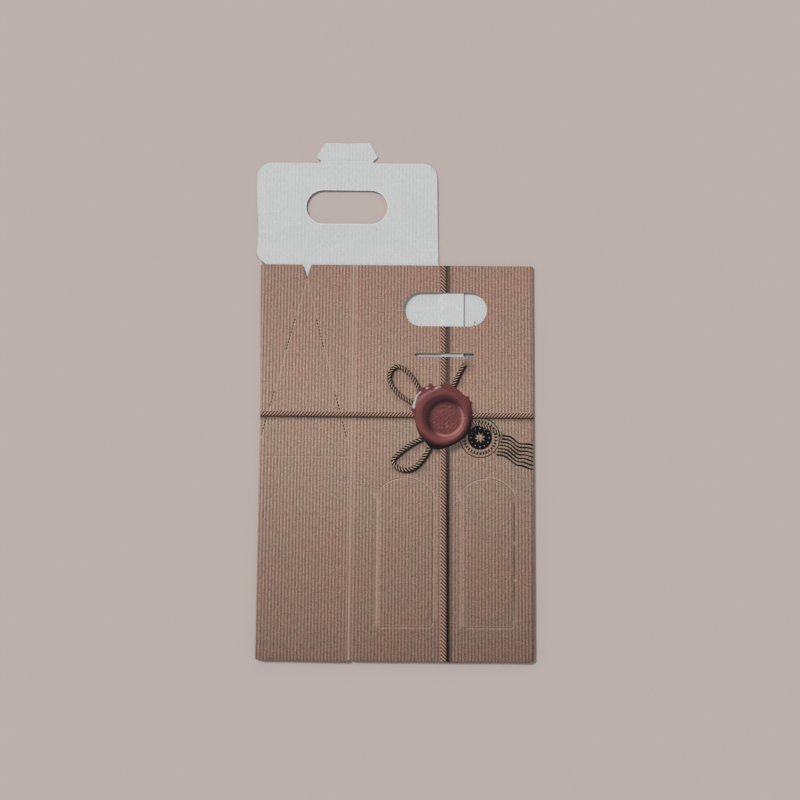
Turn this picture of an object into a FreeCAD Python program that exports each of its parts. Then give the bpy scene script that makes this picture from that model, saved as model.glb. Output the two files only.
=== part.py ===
import FreeCAD, Part
import math
import os

# A two-bottle carrier box of thin fluted board, glued as a tube and folded flat.
# Working frame while drawing: X = 0 on the crease between side panel A and the
# front panel, Y = 0 on the front panel's top cut edge, Z = 0 on the surface that
# the box lies on.  +Y runs from the box's bottom towards its closing flap.
# The last step shifts every piece so that the origin is the middle of the
# underside of the whole object.

# ---- driving dimensions (mm) ------------------------------------------------
BOARD = 1.5               # board thickness
GAP = 0.15                # air between a panel and the bottom flap folded on it

FRONT_W = 178.0           # front panel, crease to right fold
SIDE_TOP = 92.2           # side panel A at the top edge
SIDE_BOTTOM = 89.8        # side panel A at the bottom edge
PANEL_H = 383.6           # panels, top cut edge to bottom crease
THICK_TOP = 4.8           # flat tube over all, at its top edge
THICK_BOTTOM = 8.4        # the same at its bottom, where the bottom flaps lie inside

CREASE_1 = 0.4            # back panel / spine strip
CREASE_2 = 13.4           # spine strip / handle flap
TAB_ROOT = 106.8          # handle flap / lock tab
FLAP_TOP = 104.6          # top edge of the handle flap beside the tab
FLAP_X = -7.9             # centre line of the handle flap
FLAP_W = 180.6            # handle flap width
FLAP_R = 15.0             # its two outer corners
TAB_BASE = 53.0           # tab width at its root
TAB_WING = 61.4           # over the two wing tips
TAB_END = 46.6            # at its end
TAB_WING_Y = 110.5
TAB_END_Y = 125.2

HOLE_W = 82.0             # hand holes, end to end
HOLE_H = 33.9
HOLE_FRONT = (91.05, -43.9)
HOLE_BACK = (-1.2, -43.9)
HOLE_FLAP = (-7.8, 59.2)
HOLE_FLAP_W = 80.8

SLOT_W = 58.6             # slot for the lock tab
SLOT_H = 3.6
SLOT_AT = (90.2, -89.3)

GLUE_X = 85.0             # back panel / glue flap crease
GLUE_END = 109.1          # free edge of the glue flap
SIDE_B_X = 89.0           # raw edge of side panel B under the glue flap

NOTCH_W = 9.0             # notch in the top edge of both side panels
NOTCH_D = 14.3
NOTCH_A = -46.7
NOTCH_B = 131.5
GUSSET_Y = -173.6         # lower ends of the gusset creases
GUSSET_HALF = 42.4
CROSS_Y = -189.5          # crease across side panel A

DOORS = ((23.6, 79.9), (104.9, 158.4))   # arch doors: left crease, right cut
DOOR_TOP = -209.9
DOOR_SPRING = -225.4
DOOR_BOTTOM = -352.6
SLIT = 0.5                # width of a die cut
NICK = 2.0                # uncut bridge that holds a door shut

BOTTOM_FLAP = 66.0        # length of the front and back bottom flaps
SIDE_FLAP = 46.0          # length of the two side bottom flaps
SIDE_DROP = 0.8           # side flap A creases this much lower

GROOVE_W = 1.4            # pressed creases
GROOVE_D = 0.3

V = FreeCAD.Vector
SLOPE = math.atan((THICK_BOTTOM - THICK_TOP) / PANEL_H)


# ---- helpers ----------------------------------------------------------------
def box(x0, x1, y0, y1, z0, z1):
    return Part.makeBox(x1 - x0, y1 - y0, z1 - z0, V(x0, y0, z0))


def prism(points, z0, z1):
    wire = Part.makePolygon([V(x, y, z0) for x, y in points] + [V(points[0][0], points[0][1], z0)])
    return Part.Face(wire).extrude(V(0, 0, z1 - z0))


def along_y(points, y0, y1):
    wire = Part.makePolygon([V(x, y0, z) for x, z in points] + [V(points[0][0], y0, points[0][1])])
    return Part.Face(wire).extrude(V(0, y1 - y0, 0))


def stadium(centre, width, height, z0, z1):
    r = height / 2.0
    cx, cy = centre
    a = width / 2.0 - r
    edges = [
        Part.LineSegment(V(cx - a, cy - r, z0), V(cx + a, cy - r, z0)).toShape(),
        Part.Arc(V(cx + a, cy - r, z0), V(cx + a + r, cy, z0), V(cx + a, cy + r, z0)).toShape(),
        Part.LineSegment(V(cx + a, cy + r, z0), V(cx - a, cy + r, z0)).toShape(),
        Part.Arc(V(cx - a, cy + r, z0), V(cx - a - r, cy, z0), V(cx - a, cy - r, z0)).toShape(),
    ]
    return Part.Face(Part.Wire(edges)).extrude(V(0, 0, z1 - z0))


def height(y):
    """Top face of the front layer above the floor."""
    return THICK_TOP + (THICK_BOTTOM - THICK_TOP) * (-y / PANEL_H)


def left(y):
    return -(SIDE_TOP + (SIDE_BOTTOM - SIDE_TOP) * (-y / PANEL_H))


def ring(y, inset):
    """Closed section of the flat tube at y: two flat layers and two half-round folds."""
    h = height(y)
    r = h / 2.0
    xl = left(y) + r
    xr = FRONT_W - r
    zb, zt, zm = inset, h - inset, r
    return [
        Part.LineSegment(V(xl, y, zb), V(xr, y, zb)).toShape(),
        Part.Arc(V(xr, y, zb), V(xr + r - inset, y, zm), V(xr, y, zt)).toShape(),
        Part.LineSegment(V(xr, y, zt), V(xl, y, zt)).toShape(),
        Part.Arc(V(xl, y, zt), V(xl - r + inset, y, zm), V(xl, y, zb)).toShape(),
    ]


def tapered(y0, y1, inset):
    """Solid between two sections: plane top and underside, tapering half-round folds."""
    a, b = ring(y0, inset), ring(y1, inset)
    faces = [Part.Face(Part.Wire(a)), Part.Face(Part.Wire(b))]
    for i, (ea, eb) in enumerate(zip(a, b)):
        if i % 2 == 0:
            p = [ea.valueAt(ea.FirstParameter), ea.valueAt(ea.LastParameter),
                 eb.valueAt(eb.LastParameter), eb.valueAt(eb.FirstParameter)]
            faces.append(Part.Face(Part.makePolygon(p + [p[0]])))
        else:
            faces.append(Part.makeRuledSurface(ea, eb))
    shell = Part.makeShell(faces)
    shell.sewShape()
    solid = Part.makeSolid(shell)
    if solid.Volume < 0:
        solid.reverse()
    return solid


def sloped(shape):
    """From the front layer's own frame (its top face is z = 0) to its slope."""
    s = shape.copy()
    s.rotate(V(0, 0, 0), V(1, 0, 0), -math.degrees(SLOPE))
    s.translate(V(0, 0, THICK_TOP))
    return s


def groove(x0, y0, x1, y1, width=GROOVE_W, depth=GROOVE_D):
    """A pressed line in the front layer, in the layer's own frame."""
    length = math.hypot(x1 - x0, y1 - y0)
    g = Part.makeBox(length, width, depth + 1.0, V(0, -width / 2.0, -depth))
    g.rotate(V(0, 0, 0), V(0, 0, 1), math.degrees(math.atan2(y1 - y0, x1 - x0)))
    g.translate(V(x0, y0, 0))
    return g


def door_face(x0, x1, inset):
    r = 4.5
    a, b = x0 + inset, x1 - inset
    low, top, spring = DOOR_BOTTOM + inset, DOOR_TOP - inset, DOOR_SPRING - inset * 0.4
    q = r * (1 - math.sqrt(0.5))
    edges = [
        Part.LineSegment(V(a, low, 0), V(b - r, low, 0)).toShape(),
        Part.Arc(V(b - r, low, 0), V(b - q, low + q, 0), V(b, low + r, 0)).toShape(),
        Part.LineSegment(V(b, low + r, 0), V(b, spring, 0)).toShape(),
        Part.Arc(V(b, spring, 0), V((a + b) / 2.0, top, 0), V(a, spring, 0)).toShape(),
        Part.LineSegment(V(a, spring, 0), V(a, low, 0)).toShape(),
    ]
    return Part.Face(Part.Wire(edges))


def door_cut(x0, x1):
    """Die cut over the top, right and bottom of one door, with uncut nicks."""
    band = door_face(x0, x1, 0.0).extrude(V(0, 0, 9)).cut(door_face(x0, x1, SLIT).extrude(V(0, 0, 9)))
    band.translate(V(0, 0, 3.4))
    band = band.common(box(x0 + 4.0, x1 + 1, DOOR_BOTTOM - 1, DOOR_TOP + 1, 3, 13))
    middle = (x0 + x1) / 2.0
    for nx, ny in ((x1, -272.0), (x1, -307.0), (middle, DOOR_TOP), (middle, DOOR_BOTTOM)):
        band = band.cut(box(nx - NICK / 2 - 0.6, nx + NICK / 2 + 0.6, ny - NICK / 2, ny + NICK / 2, 3, 13)
                        if nx == x1 else
                        box(nx - NICK / 2, nx + NICK / 2, ny - 1.5, ny + 1.5, 3, 13))
    return band


def hairpin(x0, x1, y_crease):
    """Fold of a bottom flap under its panel: half-round, panel at z 0 to BOARD."""
    zc = BOARD + GAP / 2.0
    outer = Part.makeCylinder(zc, x1 - x0, V(x0, y_crease, zc), V(1, 0, 0))
    inner = Part.makeCylinder(GAP / 2.0, x1 - x0, V(x0, y_crease, zc), V(1, 0, 0))
    half = outer.cut(inner).common(box(x0, x1, y_crease - 3, y_crease, -1, 6))
    return half


def bottom_flap(points, y_crease):
    """A bottom flap lying on its panel, with its fold; panel at z 0 to BOARD."""
    xs = [x for x, y in points if y == y_crease]
    plate = prism(points, BOARD + GAP, 2 * BOARD + GAP)
    return plate.fuse(hairpin(min(xs), max(xs), y_crease))


def to_front(shape):
    """Mirror a piece drawn on the back layer to the underside of the front layer."""
    return sloped(shape.mirror(V(0, 0, 0), V(0, 0, 1)))


# ---- carton_body: the flat tube ----------------------------------------------
yb = -PANEL_H
tube = tapered(0.0, yb, 0.0).cut(tapered(2.0, yb - 2.0, BOARD))

# hand hole and tab slot of the front panel
tube = tube.cut(stadium(HOLE_FRONT, HOLE_W, HOLE_H, 2.2, 14))
tube = tube.cut(stadium(SLOT_AT, SLOT_W, SLOT_H, 2.2, 14))
# hand hole of the back panel, under the front layer
tube = tube.cut(stadium(HOLE_BACK, HOLE_W, HOLE_H, -1, 2.2))
# notch in the top edge of both side panels
tube = tube.cut(prism([(NOTCH_A - NOTCH_W / 2, 0.1), (NOTCH_A, -NOTCH_D), (NOTCH_A + NOTCH_W / 2, 0.1)], 2.2, 14))
tube = tube.cut(prism([(NOTCH_B - NOTCH_W / 2, 0.1), (NOTCH_B, -NOTCH_D), (NOTCH_B + NOTCH_W / 2, 0.1)], -1, 2.2))
# the arch doors of the front panel
for x0, x1 in DOORS:
    tube = tube.cut(door_cut(x0, x1))

# pressed lines of the front layer
lines = [
    groove(0, 1, 0, yb - 1),
    groove(NOTCH_A, -NOTCH_D - 1.0, NOTCH_A - GUSSET_HALF, GUSSET_Y, 0.8, 0.3),
    groove(NOTCH_A, -NOTCH_D - 1.0, NOTCH_A + GUSSET_HALF, GUSSET_Y, 0.8, 0.3),
    groove(-86.0, CROSS_Y, -2.5, CROSS_Y, 1.0, 0.25),
]
for x0, x1 in DOORS:
    lines.append(groove(x0 + 1.6, DOOR_SPRING, x0 + 1.6, DOOR_BOTTOM, 3.2, 0.25))
for g in lines:
    tube = tube.cut(sloped(g))
# the same gusset lines on the outside of side panel B, which faces the floor
for s in (-1, 1):
    g = groove(NOTCH_B, -NOTCH_D - 1.0, NOTCH_B + s * GUSSET_HALF, GUSSET_Y, 0.8, 0.3)
    tube = tube.cut(g.mirror(V(0, 0, 0), V(0, 0, 1)))

# seam of the tube: the back panel ends, its glue flap steps up on side panel B
tube = tube.cut(box(GLUE_X, SIDE_B_X, yb - 1, 1, -1, BOARD + 0.01))
step = along_y([(GLUE_X - 0.3, 0), (GLUE_X + 0.6, 0), (SIDE_B_X - 0.4, BOARD), (GLUE_END, BOARD),
                (GLUE_END, 2 * BOARD), (SIDE_B_X - 1.0, 2 * BOARD), (GLUE_X, BOARD), (GLUE_X - 0.3, BOARD)],
               yb + 6.0, -2.5)
trim = prism([(GLUE_X - 2, yb + 5), (GLUE_X + 6, yb + 5), (GLUE_END + 0.1, yb + 14),
              (GLUE_END + 0.1, -10.5), (GLUE_X + 6, -2.0), (GLUE_X - 2, -2.0)], -1, 6)
body = tube.fuse(step.common(trim))
# the back panel reaches past the front's cut edge to its first crease
body = body.fuse(box(left(0) + THICK_TOP / 2.0, GLUE_X - 0.6, -1.0, CREASE_1, 0, BOARD))

# bottom flaps, folded up inside the tube
lx = left(yb) + THICK_BOTTOM / 2.0 + 0.6
rx = FRONT_W - THICK_BOTTOM / 2.0 - 0.6
ya = yb - SIDE_DROP
flap_back = bottom_flap([(lx, yb), (GLUE_X - 1.6, yb), (GLUE_X - 1.6, yb + 30), (GLUE_X - 20, yb + BOTTOM_FLAP),
                         (lx + 30, yb + BOTTOM_FLAP), (lx, yb + 34)], yb)
flap_side_b = bottom_flap([(SIDE_B_X + 1.0, yb), (rx, yb), (rx - SIDE_FLAP + 3, yb + SIDE_FLAP),
                           (GLUE_END + 8, yb + SIDE_FLAP), (GLUE_END + 2, yb + 12)], yb)
flap_front = to_front(bottom_flap([(2.0, yb), (rx, yb), (rx, yb + 34), (rx - 30, yb + BOTTOM_FLAP),
                                   (20.0, yb + BOTTOM_FLAP), (2.0, yb + 30)], yb))
flap_side_a = to_front(
    bottom_flap([(lx, ya), (-1.4, ya), (-8, ya + SIDE_FLAP), (lx + SIDE_FLAP - 3, ya + SIDE_FLAP)], ya)
    .fuse(box(lx, -1.4, ya, yb + 0.5, 0, BOARD)))
for f in (flap_back, flap_side_b, flap_front, flap_side_a):
    body = body.fuse(f)

# glued corner of side flap A on the back flap, folded along a diagonal
z1 = 2 * BOARD + GAP
corner_a = prism([(lx + 2, yb + 2.5), (lx + 40, yb + 2.5), (lx + 40, yb + 40)], z1, z1 + BOARD)
wall_a = prism([(lx + 2, yb + 2.5), (lx + 4.2, yb + 2.5), (lx + 40, yb + 38.0), (lx + 40, yb + 40)], z1, z1 + 2.4)
# glued corner of side flap B on the front flap
corner_b = to_front(prism([(rx - 2, yb + 2.5), (rx - 40, yb + 2.5), (rx - 40, yb + 40)], z1, z1 + BOARD))
wall_b = to_front(prism([(rx - 2, yb + 2.5), (rx - 4.2, yb + 2.5), (rx - 40, yb + 38.0), (rx - 40, yb + 40)],
                        z1, z1 + 2.9))
for f in (corner_a, wall_a, corner_b, wall_b):
    body = body.fuse(f)
body = body.removeSplitter()

# ---- flap_spine: the strip between the two creases ----------------------------
fl, fr = FLAP_X - FLAP_W / 2.0, FLAP_X + FLAP_W / 2.0
sl, sr = left(0) + THICK_TOP / 2.0, GLUE_X - 0.6
spine = prism([(sl, CREASE_1), (sr, CREASE_1), (sr - 0.4, CREASE_1 + 3.0), (fr, CREASE_2),
               (fl, CREASE_2), (fl, CREASE_1 + 6.6), (sl - 1.6, CREASE_1 + 1.6)], 0, BOARD)

# ---- handle_flap ---------------------------------------------------------------
c = FLAP_R * (1 - math.sqrt(0.5))
tb = TAB_BASE / 2.0
tx = FLAP_X - 0.3
edges = [
    Part.LineSegment(V(fl, CREASE_2, 0), V(fr, CREASE_2, 0)).toShape(),
    Part.LineSegment(V(fr, CREASE_2, 0), V(fr, FLAP_TOP - FLAP_R, 0)).toShape(),
    Part.Arc(V(fr, FLAP_TOP - FLAP_R, 0), V(fr - c, FLAP_TOP - c, 0), V(fr - FLAP_R, FLAP_TOP, 0)).toShape(),
    Part.LineSegment(V(fr - FLAP_R, FLAP_TOP, 0), V(tx + tb, FLAP_TOP, 0)).toShape(),
    Part.LineSegment(V(tx + tb, FLAP_TOP, 0), V(tx + tb, TAB_ROOT, 0)).toShape(),
    Part.LineSegment(V(tx + tb, TAB_ROOT, 0), V(tx - tb, TAB_ROOT, 0)).toShape(),
    Part.LineSegment(V(tx - tb, TAB_ROOT, 0), V(tx - tb, FLAP_TOP, 0)).toShape(),
    Part.LineSegment(V(tx - tb, FLAP_TOP, 0), V(fl + FLAP_R, FLAP_TOP, 0)).toShape(),
    Part.Arc(V(fl + FLAP_R, FLAP_TOP, 0), V(fl + c, FLAP_TOP - c, 0), V(fl, FLAP_TOP - FLAP_R, 0)).toShape(),
    Part.LineSegment(V(fl, FLAP_TOP - FLAP_R, 0), V(fl, CREASE_2, 0)).toShape(),
]
flap = Part.Face(Part.Wire(edges)).extrude(V(0, 0, BOARD))
flap = flap.cut(stadium(HOLE_FLAP, HOLE_FLAP_W, HOLE_H, -1, 3))

# ---- lock_tab --------------------------------------------------------------------
te, tw = TAB_END / 2.0, TAB_WING / 2.0
tab = prism([(tx - tb, TAB_ROOT), (tx + tb, TAB_ROOT), (tx + tw, TAB_WING_Y), (tx + te, TAB_END_Y - 0.4),
             (tx + te - 1.5, TAB_END_Y), (tx, TAB_END_Y - 0.5), (tx - te + 1.5, TAB_END_Y),
             (tx - te, TAB_END_Y - 0.4), (tx - tw, TAB_WING_Y)], 0, BOARD)

# ---- origin and export -----------------------------------------------------------
pieces = {"carton_body": body, "flap_spine": spine, "handle_flap": flap, "lock_tab": tab}
span = Part.makeCompound(list(pieces.values())).BoundBox
shift = V(-(span.XMin + span.XMax) / 2.0, -(span.YMin + span.YMax) / 2.0, -span.ZMin)
os.makedirs("parts", exist_ok=True)
for name, shape in pieces.items():
    moved = shape.copy()
    moved.translate(shift)
    moved.exportStep("parts/%s.step" % name)
    b = moved.BoundBox
    print("%-12s valid %s solids %d volume %.1f mm3  x %.2f..%.2f  y %.2f..%.2f  z %.2f..%.2f" % (
        name, moved.isValid(), len(moved.Solids), moved.Volume,
        b.XMin, b.XMax, b.YMin, b.YMax, b.ZMin, b.ZMax))
print("shift", shift)
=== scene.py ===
import math

import bpy
import numpy as np
from mathutils import Matrix, Vector
from mathutils.geometry import delaunay_2d_cdt


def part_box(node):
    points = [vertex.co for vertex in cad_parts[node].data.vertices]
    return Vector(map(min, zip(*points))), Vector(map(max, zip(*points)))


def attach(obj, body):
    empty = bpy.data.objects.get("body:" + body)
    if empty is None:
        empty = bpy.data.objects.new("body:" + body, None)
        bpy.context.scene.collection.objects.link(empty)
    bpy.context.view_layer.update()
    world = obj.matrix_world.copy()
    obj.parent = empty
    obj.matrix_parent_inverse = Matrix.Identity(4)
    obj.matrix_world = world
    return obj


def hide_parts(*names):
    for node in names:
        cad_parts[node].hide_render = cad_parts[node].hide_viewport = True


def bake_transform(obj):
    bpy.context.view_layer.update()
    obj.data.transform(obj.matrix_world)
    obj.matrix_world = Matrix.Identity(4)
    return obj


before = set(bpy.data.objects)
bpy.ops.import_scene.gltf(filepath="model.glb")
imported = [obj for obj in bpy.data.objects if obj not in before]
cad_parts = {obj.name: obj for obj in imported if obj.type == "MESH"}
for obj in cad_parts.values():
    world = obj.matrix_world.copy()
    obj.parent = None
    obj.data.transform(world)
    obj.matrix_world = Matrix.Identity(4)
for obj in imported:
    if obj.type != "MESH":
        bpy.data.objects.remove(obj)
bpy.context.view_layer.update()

# ---------------------------------------------------------------------------
# Working coordinates, in mm: X = 0 on the crease between the side panel and the
# front panel, Y = 0 on the front panel's top cut edge, Z = 0 on the floor.
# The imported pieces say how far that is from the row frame.
# ---------------------------------------------------------------------------
FLAP_X, FLAP_W = -7.9, 180.6
TAB_END_Y = 125.2
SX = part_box("handle_flap")[0][0] * 1000.0 - (FLAP_X - FLAP_W / 2.0)
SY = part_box("lock_tab")[1][1] * 1000.0 - TAB_END_Y

T = 1.5                   # board
FLUTE = 3.58              # flute pitch
PANEL_H = 383.6
FRONT_W = 178.0
SIDE_TOP, SIDE_BOTTOM = 92.2, 89.8
THICK_TOP, THICK_BOTTOM = 4.8, 8.4
CREASE_1, CREASE_2, TAB_ROOT = 0.4, 13.4, 106.8
FLAP_TOP, FLAP_R = 104.6, 15.0
TAB_BASE, TAB_WING, TAB_END, TAB_WING_Y = 53.0, 61.4, 46.6, 110.5
HOLE_W, HOLE_H = 82.0, 33.9
HOLE_FRONT, HOLE_BACK, HOLE_FLAP, HOLE_FLAP_W = (91.05, -43.9), (-1.2, -43.9), (-7.8, 59.2), 80.8
SLOT_W, SLOT_H, SLOT_AT = 58.6, 3.6, (90.2, -89.3)
NOTCH_W, NOTCH_D, NOTCH_A, NOTCH_B = 9.0, 14.3, -46.7, 131.5
GUSSET_Y, GUSSET_HALF = -173.6, 42.4
CROSS_Y = -189.5
DOORS = ((23.6, 79.9), (104.9, 158.4))
DOOR_TOP, DOOR_SPRING, DOOR_BOTTOM = -209.9, -225.4, -352.6
SIDE_B_X = 89.0
GLUE_END = 109.1

# The blank, as if unfolded: u runs round the tube, v is the local Y.  On the front
# layer u is the local X.
UR = 184.0                # end of the right fold, start of side panel B
UB = 270.0                # raw edge of side panel B
UL = -97.0                # end of the left fold, start of the back panel
UG = -272.0               # crease of the glue flap
UE = -296.5               # its free edge

rng = np.random.default_rng(7614)


# ---------------------------------------------------------------------------
# folding the blank
# ---------------------------------------------------------------------------
def smooth(t):
    t = np.clip(t, 0.0, 1.0)
    return t * t * (3.0 - 2.0 * t)


def thick(y):
    return THICK_TOP + (THICK_BOTTOM - THICK_TOP) * np.clip(-y / PANEL_H, -0.02, 1.02)


def left_edge(y):
    return -(SIDE_TOP + (SIDE_BOTTOM - SIDE_TOP) * smooth(-y / 170.0))


def wave(x, y, a, b, c):
    return np.sin(x * a + c) * np.cos(y * b - c * 1.7)


def bulge(u, y):
    """Slow unevenness of the front layer, a few tenths of a mm."""
    return (0.16 * wave(u, y, 0.021, 0.017, 0.4) + 0.10 * wave(u, y, 0.047, 0.031, 2.1)
            + 0.05 * wave(u, y, 0.09, 0.06, 4.0)) - 0.22


def base(u, y, depth):
    """Place on the flat tube: depth is measured inward from the printed face."""
    h = thick(y)
    r = h / 2.0
    xl = left_edge(y) + r
    xr = FRONT_W - r
    x = np.array(u, float)
    z = h - depth + bulge(u, y) * smooth((u - xl) / 16.0) * smooth((xr - u) / 16.0)
    # right fold
    m = u > xr
    a = np.pi * np.clip((u - xr) / (UR - xr), 0, 1)
    x = np.where(m, xr + 0.996 * (r - depth) * np.sin(a), x)
    z = np.where(m, r + (r - depth) * np.cos(a), z)
    # side panel B, on the floor
    m = u > UR
    x = np.where(m, xr + (SIDE_B_X - xr) * (u - UR) / (UB - UR), x)
    z = np.where(m, depth, z)
    # left fold
    m = u < xl
    a = np.pi * np.clip((xl - u) / (xl - UL), 0, 1)
    x = np.where(m, xl - (r - depth) * np.sin(a), x)
    z = np.where(m, r + (r - depth) * np.cos(a), z)
    # back panel, on the floor
    m = u < UL
    x = np.where(m, xl + (85.0 - xl) * (UL - u) / (UL - UG), x)
    z = np.where(m, depth, z)
    # glue flap, stepped up on side panel B
    m = u < UG
    s = UG - u
    x = np.where(m, 85.0 + s * (GLUE_END - 85.0) / (UG - UE), x)
    z = np.where(m, depth + (T + 0.03) * smooth(s / 4.4) + 0.42 * smooth((s - 14.0) / 10.5), z)
    return x, y, z


def bottom_crease(u):
    """Where a panel's bottom crease lies; the side panel's is a little lower."""
    side = (u < 0.3) & (u > UL + 4)
    return np.where(side, -383.6 - 0.72 * smooth((u + 88.0) / 88.0), -PANEL_H - 0.25 * np.sin(u * 0.045) ** 2)


def fold(u, v, w):
    """Local mm for a point of the blank, w deep from the printed face."""
    u, v, w = np.broadcast_arrays(np.asarray(u, float), np.asarray(v, float), np.asarray(w, float))
    yc = bottom_crease(u)
    rc = T + 0.075
    d = yc - v
    below = d > 0
    arc = np.pi * rc
    a = np.pi * np.clip(d / arc, 0, 1)
    y = np.where(below, yc - (rc - w) * np.sin(a) + np.maximum(d - arc, 0), v)
    depth = np.where(below, rc - (rc - w) * np.cos(a), w)
    # the front flaps follow the slope of the front layer
    x, y, z = base(u, y, depth)
    return x, y, z


def lift(x, y):
    """The closing flap springs up slightly between its creases and its end."""
    end = np.clip((TAB_ROOT - 4 - y) / 30.0, 0, 1)
    edge = smooth((y - CREASE_2 - 4) / 30.0) * smooth(end)
    return edge * (0.70 + 0.25 * np.sin(x * 0.045 + 0.6) + 0.2 * np.sin(x * 0.11 + y * 0.05)
                   + 0.85 * np.exp(-((x + 46.0) / 26.0) ** 2))


def flat(u, v, w):
    """The closing flap's pieces: u is -X, printed face down."""
    u, v, w = np.broadcast_arrays(np.asarray(u, float), np.asarray(v, float), np.asarray(w, float))
    # the chamfer at the lower left is cut aslant, so its open flutes show
    lean = 1.5 * smooth((u - 86.0) / 3.0) * smooth((8.5 - v) / 2.5) * (w / T)
    return -u + lean, v + 0.5 * lean, w + lift(-u, v)


# ---------------------------------------------------------------------------
# outlines
# ---------------------------------------------------------------------------
def stadium(cx, cy, width, height, n=14):
    r = height / 2.0
    a = width / 2.0 - r
    t = np.linspace(-90, 90, n)
    right = [(cx + a + r * math.cos(math.radians(k)), cy + r * math.sin(math.radians(k))) for k in t]
    leftp = [(cx - a - r * math.cos(math.radians(k)), cy - r * math.sin(math.radians(k))) for k in t]
    m = max(2, int(2 * a / 6))
    low = [(cx - a + 2 * a * k / m, cy - r) for k in range(1, m)]
    top = [(cx + a - 2 * a * k / m, cy + r) for k in range(1, m)]
    return low + right + top + leftp


def u_back(x, y=0.0):
    """Blank u of a place X on the back panel."""
    xl = float(left_edge(np.array(y))) + float(thick(np.array(y))) / 2.0
    return UL - (UL - UG) * (x - xl) / (85.0 - xl)


def u_side(x, y=0.0):
    """Blank u of a place X on side panel B."""
    xr = FRONT_W - float(thick(np.array(y))) / 2.0
    return UR + (UB - UR) * (xr - x) / (xr - SIDE_B_X)


def lens(p, q, half):
    """A thin cut from p to q, pointed at both ends."""
    p, q = np.array(p, float), np.array(q, float)
    d = (q - p) / np.linalg.norm(q - p)
    n = np.array([-d[1], d[0]]) * half
    m1, m2 = p + (q - p) * 0.2, p + (q - p) * 0.8
    return [tuple(p), tuple(m1 - n), tuple(m2 - n), tuple(q), tuple(m2 + n), tuple(m1 + n)]


def ribbon(path, half, close=False):
    """Closed outline of a band of that half width about a path."""
    p = np.array(path, float)
    d = np.gradient(p, axis=0)
    d /= np.linalg.norm(d, axis=1)[:, None]
    n = np.stack([-d[:, 1], d[:, 0]], 1)
    h = np.asarray(half, float)
    if h.ndim:
        h = h[:, None]
    a, b = p + n * h, p - n * h
    return [tuple(q) for q in a] + [tuple(q) for q in b[::-1]]


def arch(x0, x1, inset=0.0, n=22):
    """Door outline from the lower left corner, right and up, over the arch, to the left springing."""
    a, b = x0 + inset, x1 - inset
    low, top, spring = DOOR_BOTTOM + inset, DOOR_TOP - inset, DOOR_SPRING - 0.4 * inset
    r = 4.5 - inset
    pts = [(a + (b - r - a) * k / 7, low) for k in range(8)]
    pts += [(b - r + r * math.sin(math.radians(t)), low + r - r * math.cos(math.radians(t))) for t in (22.5, 45, 67.5, 90)]
    pts += [(b, low + r + (spring - low - r) * k / 16) for k in range(1, 17)]
    w = (b - a) / 2.0
    s = top - spring
    rad = (w * w + s * s) / (2 * s)
    cy = top - rad
    cx = (a + b) / 2.0
    t0 = math.asin(w / rad)
    pts += [(cx + rad * math.sin(t0 - 2 * t0 * k / n), cy + rad * math.cos(t0 - 2 * t0 * k / n)) for k in range(1, n + 1)]
    return pts


def spline(points, step):
    """Smooth line through the points (Catmull-Rom), resampled at about that step."""
    p = np.array(points, float)
    p = np.vstack([2 * p[0] - p[1], p, 2 * p[-1] - p[-2]])
    out = []
    for i in range(1, len(p) - 2):
        t = np.linspace(0, 1, 24, endpoint=False)[:, None]
        a, b, c, d = p[i - 1], p[i], p[i + 1], p[i + 2]
        out.append(0.5 * ((2 * b) + (c - a) * t + (2 * a - 5 * b + 4 * c - d) * t ** 2 + (3 * b - a - 3 * c + d) * t ** 3))
    out = np.vstack(out + [p[-2][None]])
    return resample(out, step)


def resample(p, step):
    p = np.array(p, float)
    s = np.r_[0, np.cumsum(np.linalg.norm(np.diff(p, axis=0), axis=1))]
    n = max(2, int(round(s[-1] / step)) + 1)
    t = np.linspace(0, s[-1], n)
    return np.stack([np.interp(t, s, p[:, 0]), np.interp(t, s, p[:, 1])], 1)


# ---------------------------------------------------------------------------
# plane meshes with holes and printed outlines
# ---------------------------------------------------------------------------
def inside(P, loops):
    """Even-odd test of points against closed loops."""
    odd = np.zeros(len(P), bool)
    for loop in loops:
        L = np.asarray(loop, float)
        lo, hi = L.min(0), L.max(0)
        idx = np.nonzero((P[:, 0] <= hi[0]) & (P[:, 1] >= lo[1]) & (P[:, 1] <= hi[1]))[0]
        if not len(idx):
            continue
        q = P[idx]
        a, b = L, np.roll(L, -1, 0)
        c = np.zeros(len(q), int)
        for k in range(0, len(L)):
            y0, y1 = a[k, 1], b[k, 1]
            if y0 == y1:
                continue
            m = (q[:, 1] >= min(y0, y1)) & (q[:, 1] < max(y0, y1))
            if not m.any():
                continue
            xs = a[k, 0] + (q[m, 1] - y0) * (b[k, 0] - a[k, 0]) / (y1 - y0)
            c[np.nonzero(m)[0][q[m, 0] < xs]] += 1
        odd[idx] ^= (c % 2).astype(bool)
    return odd


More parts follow.
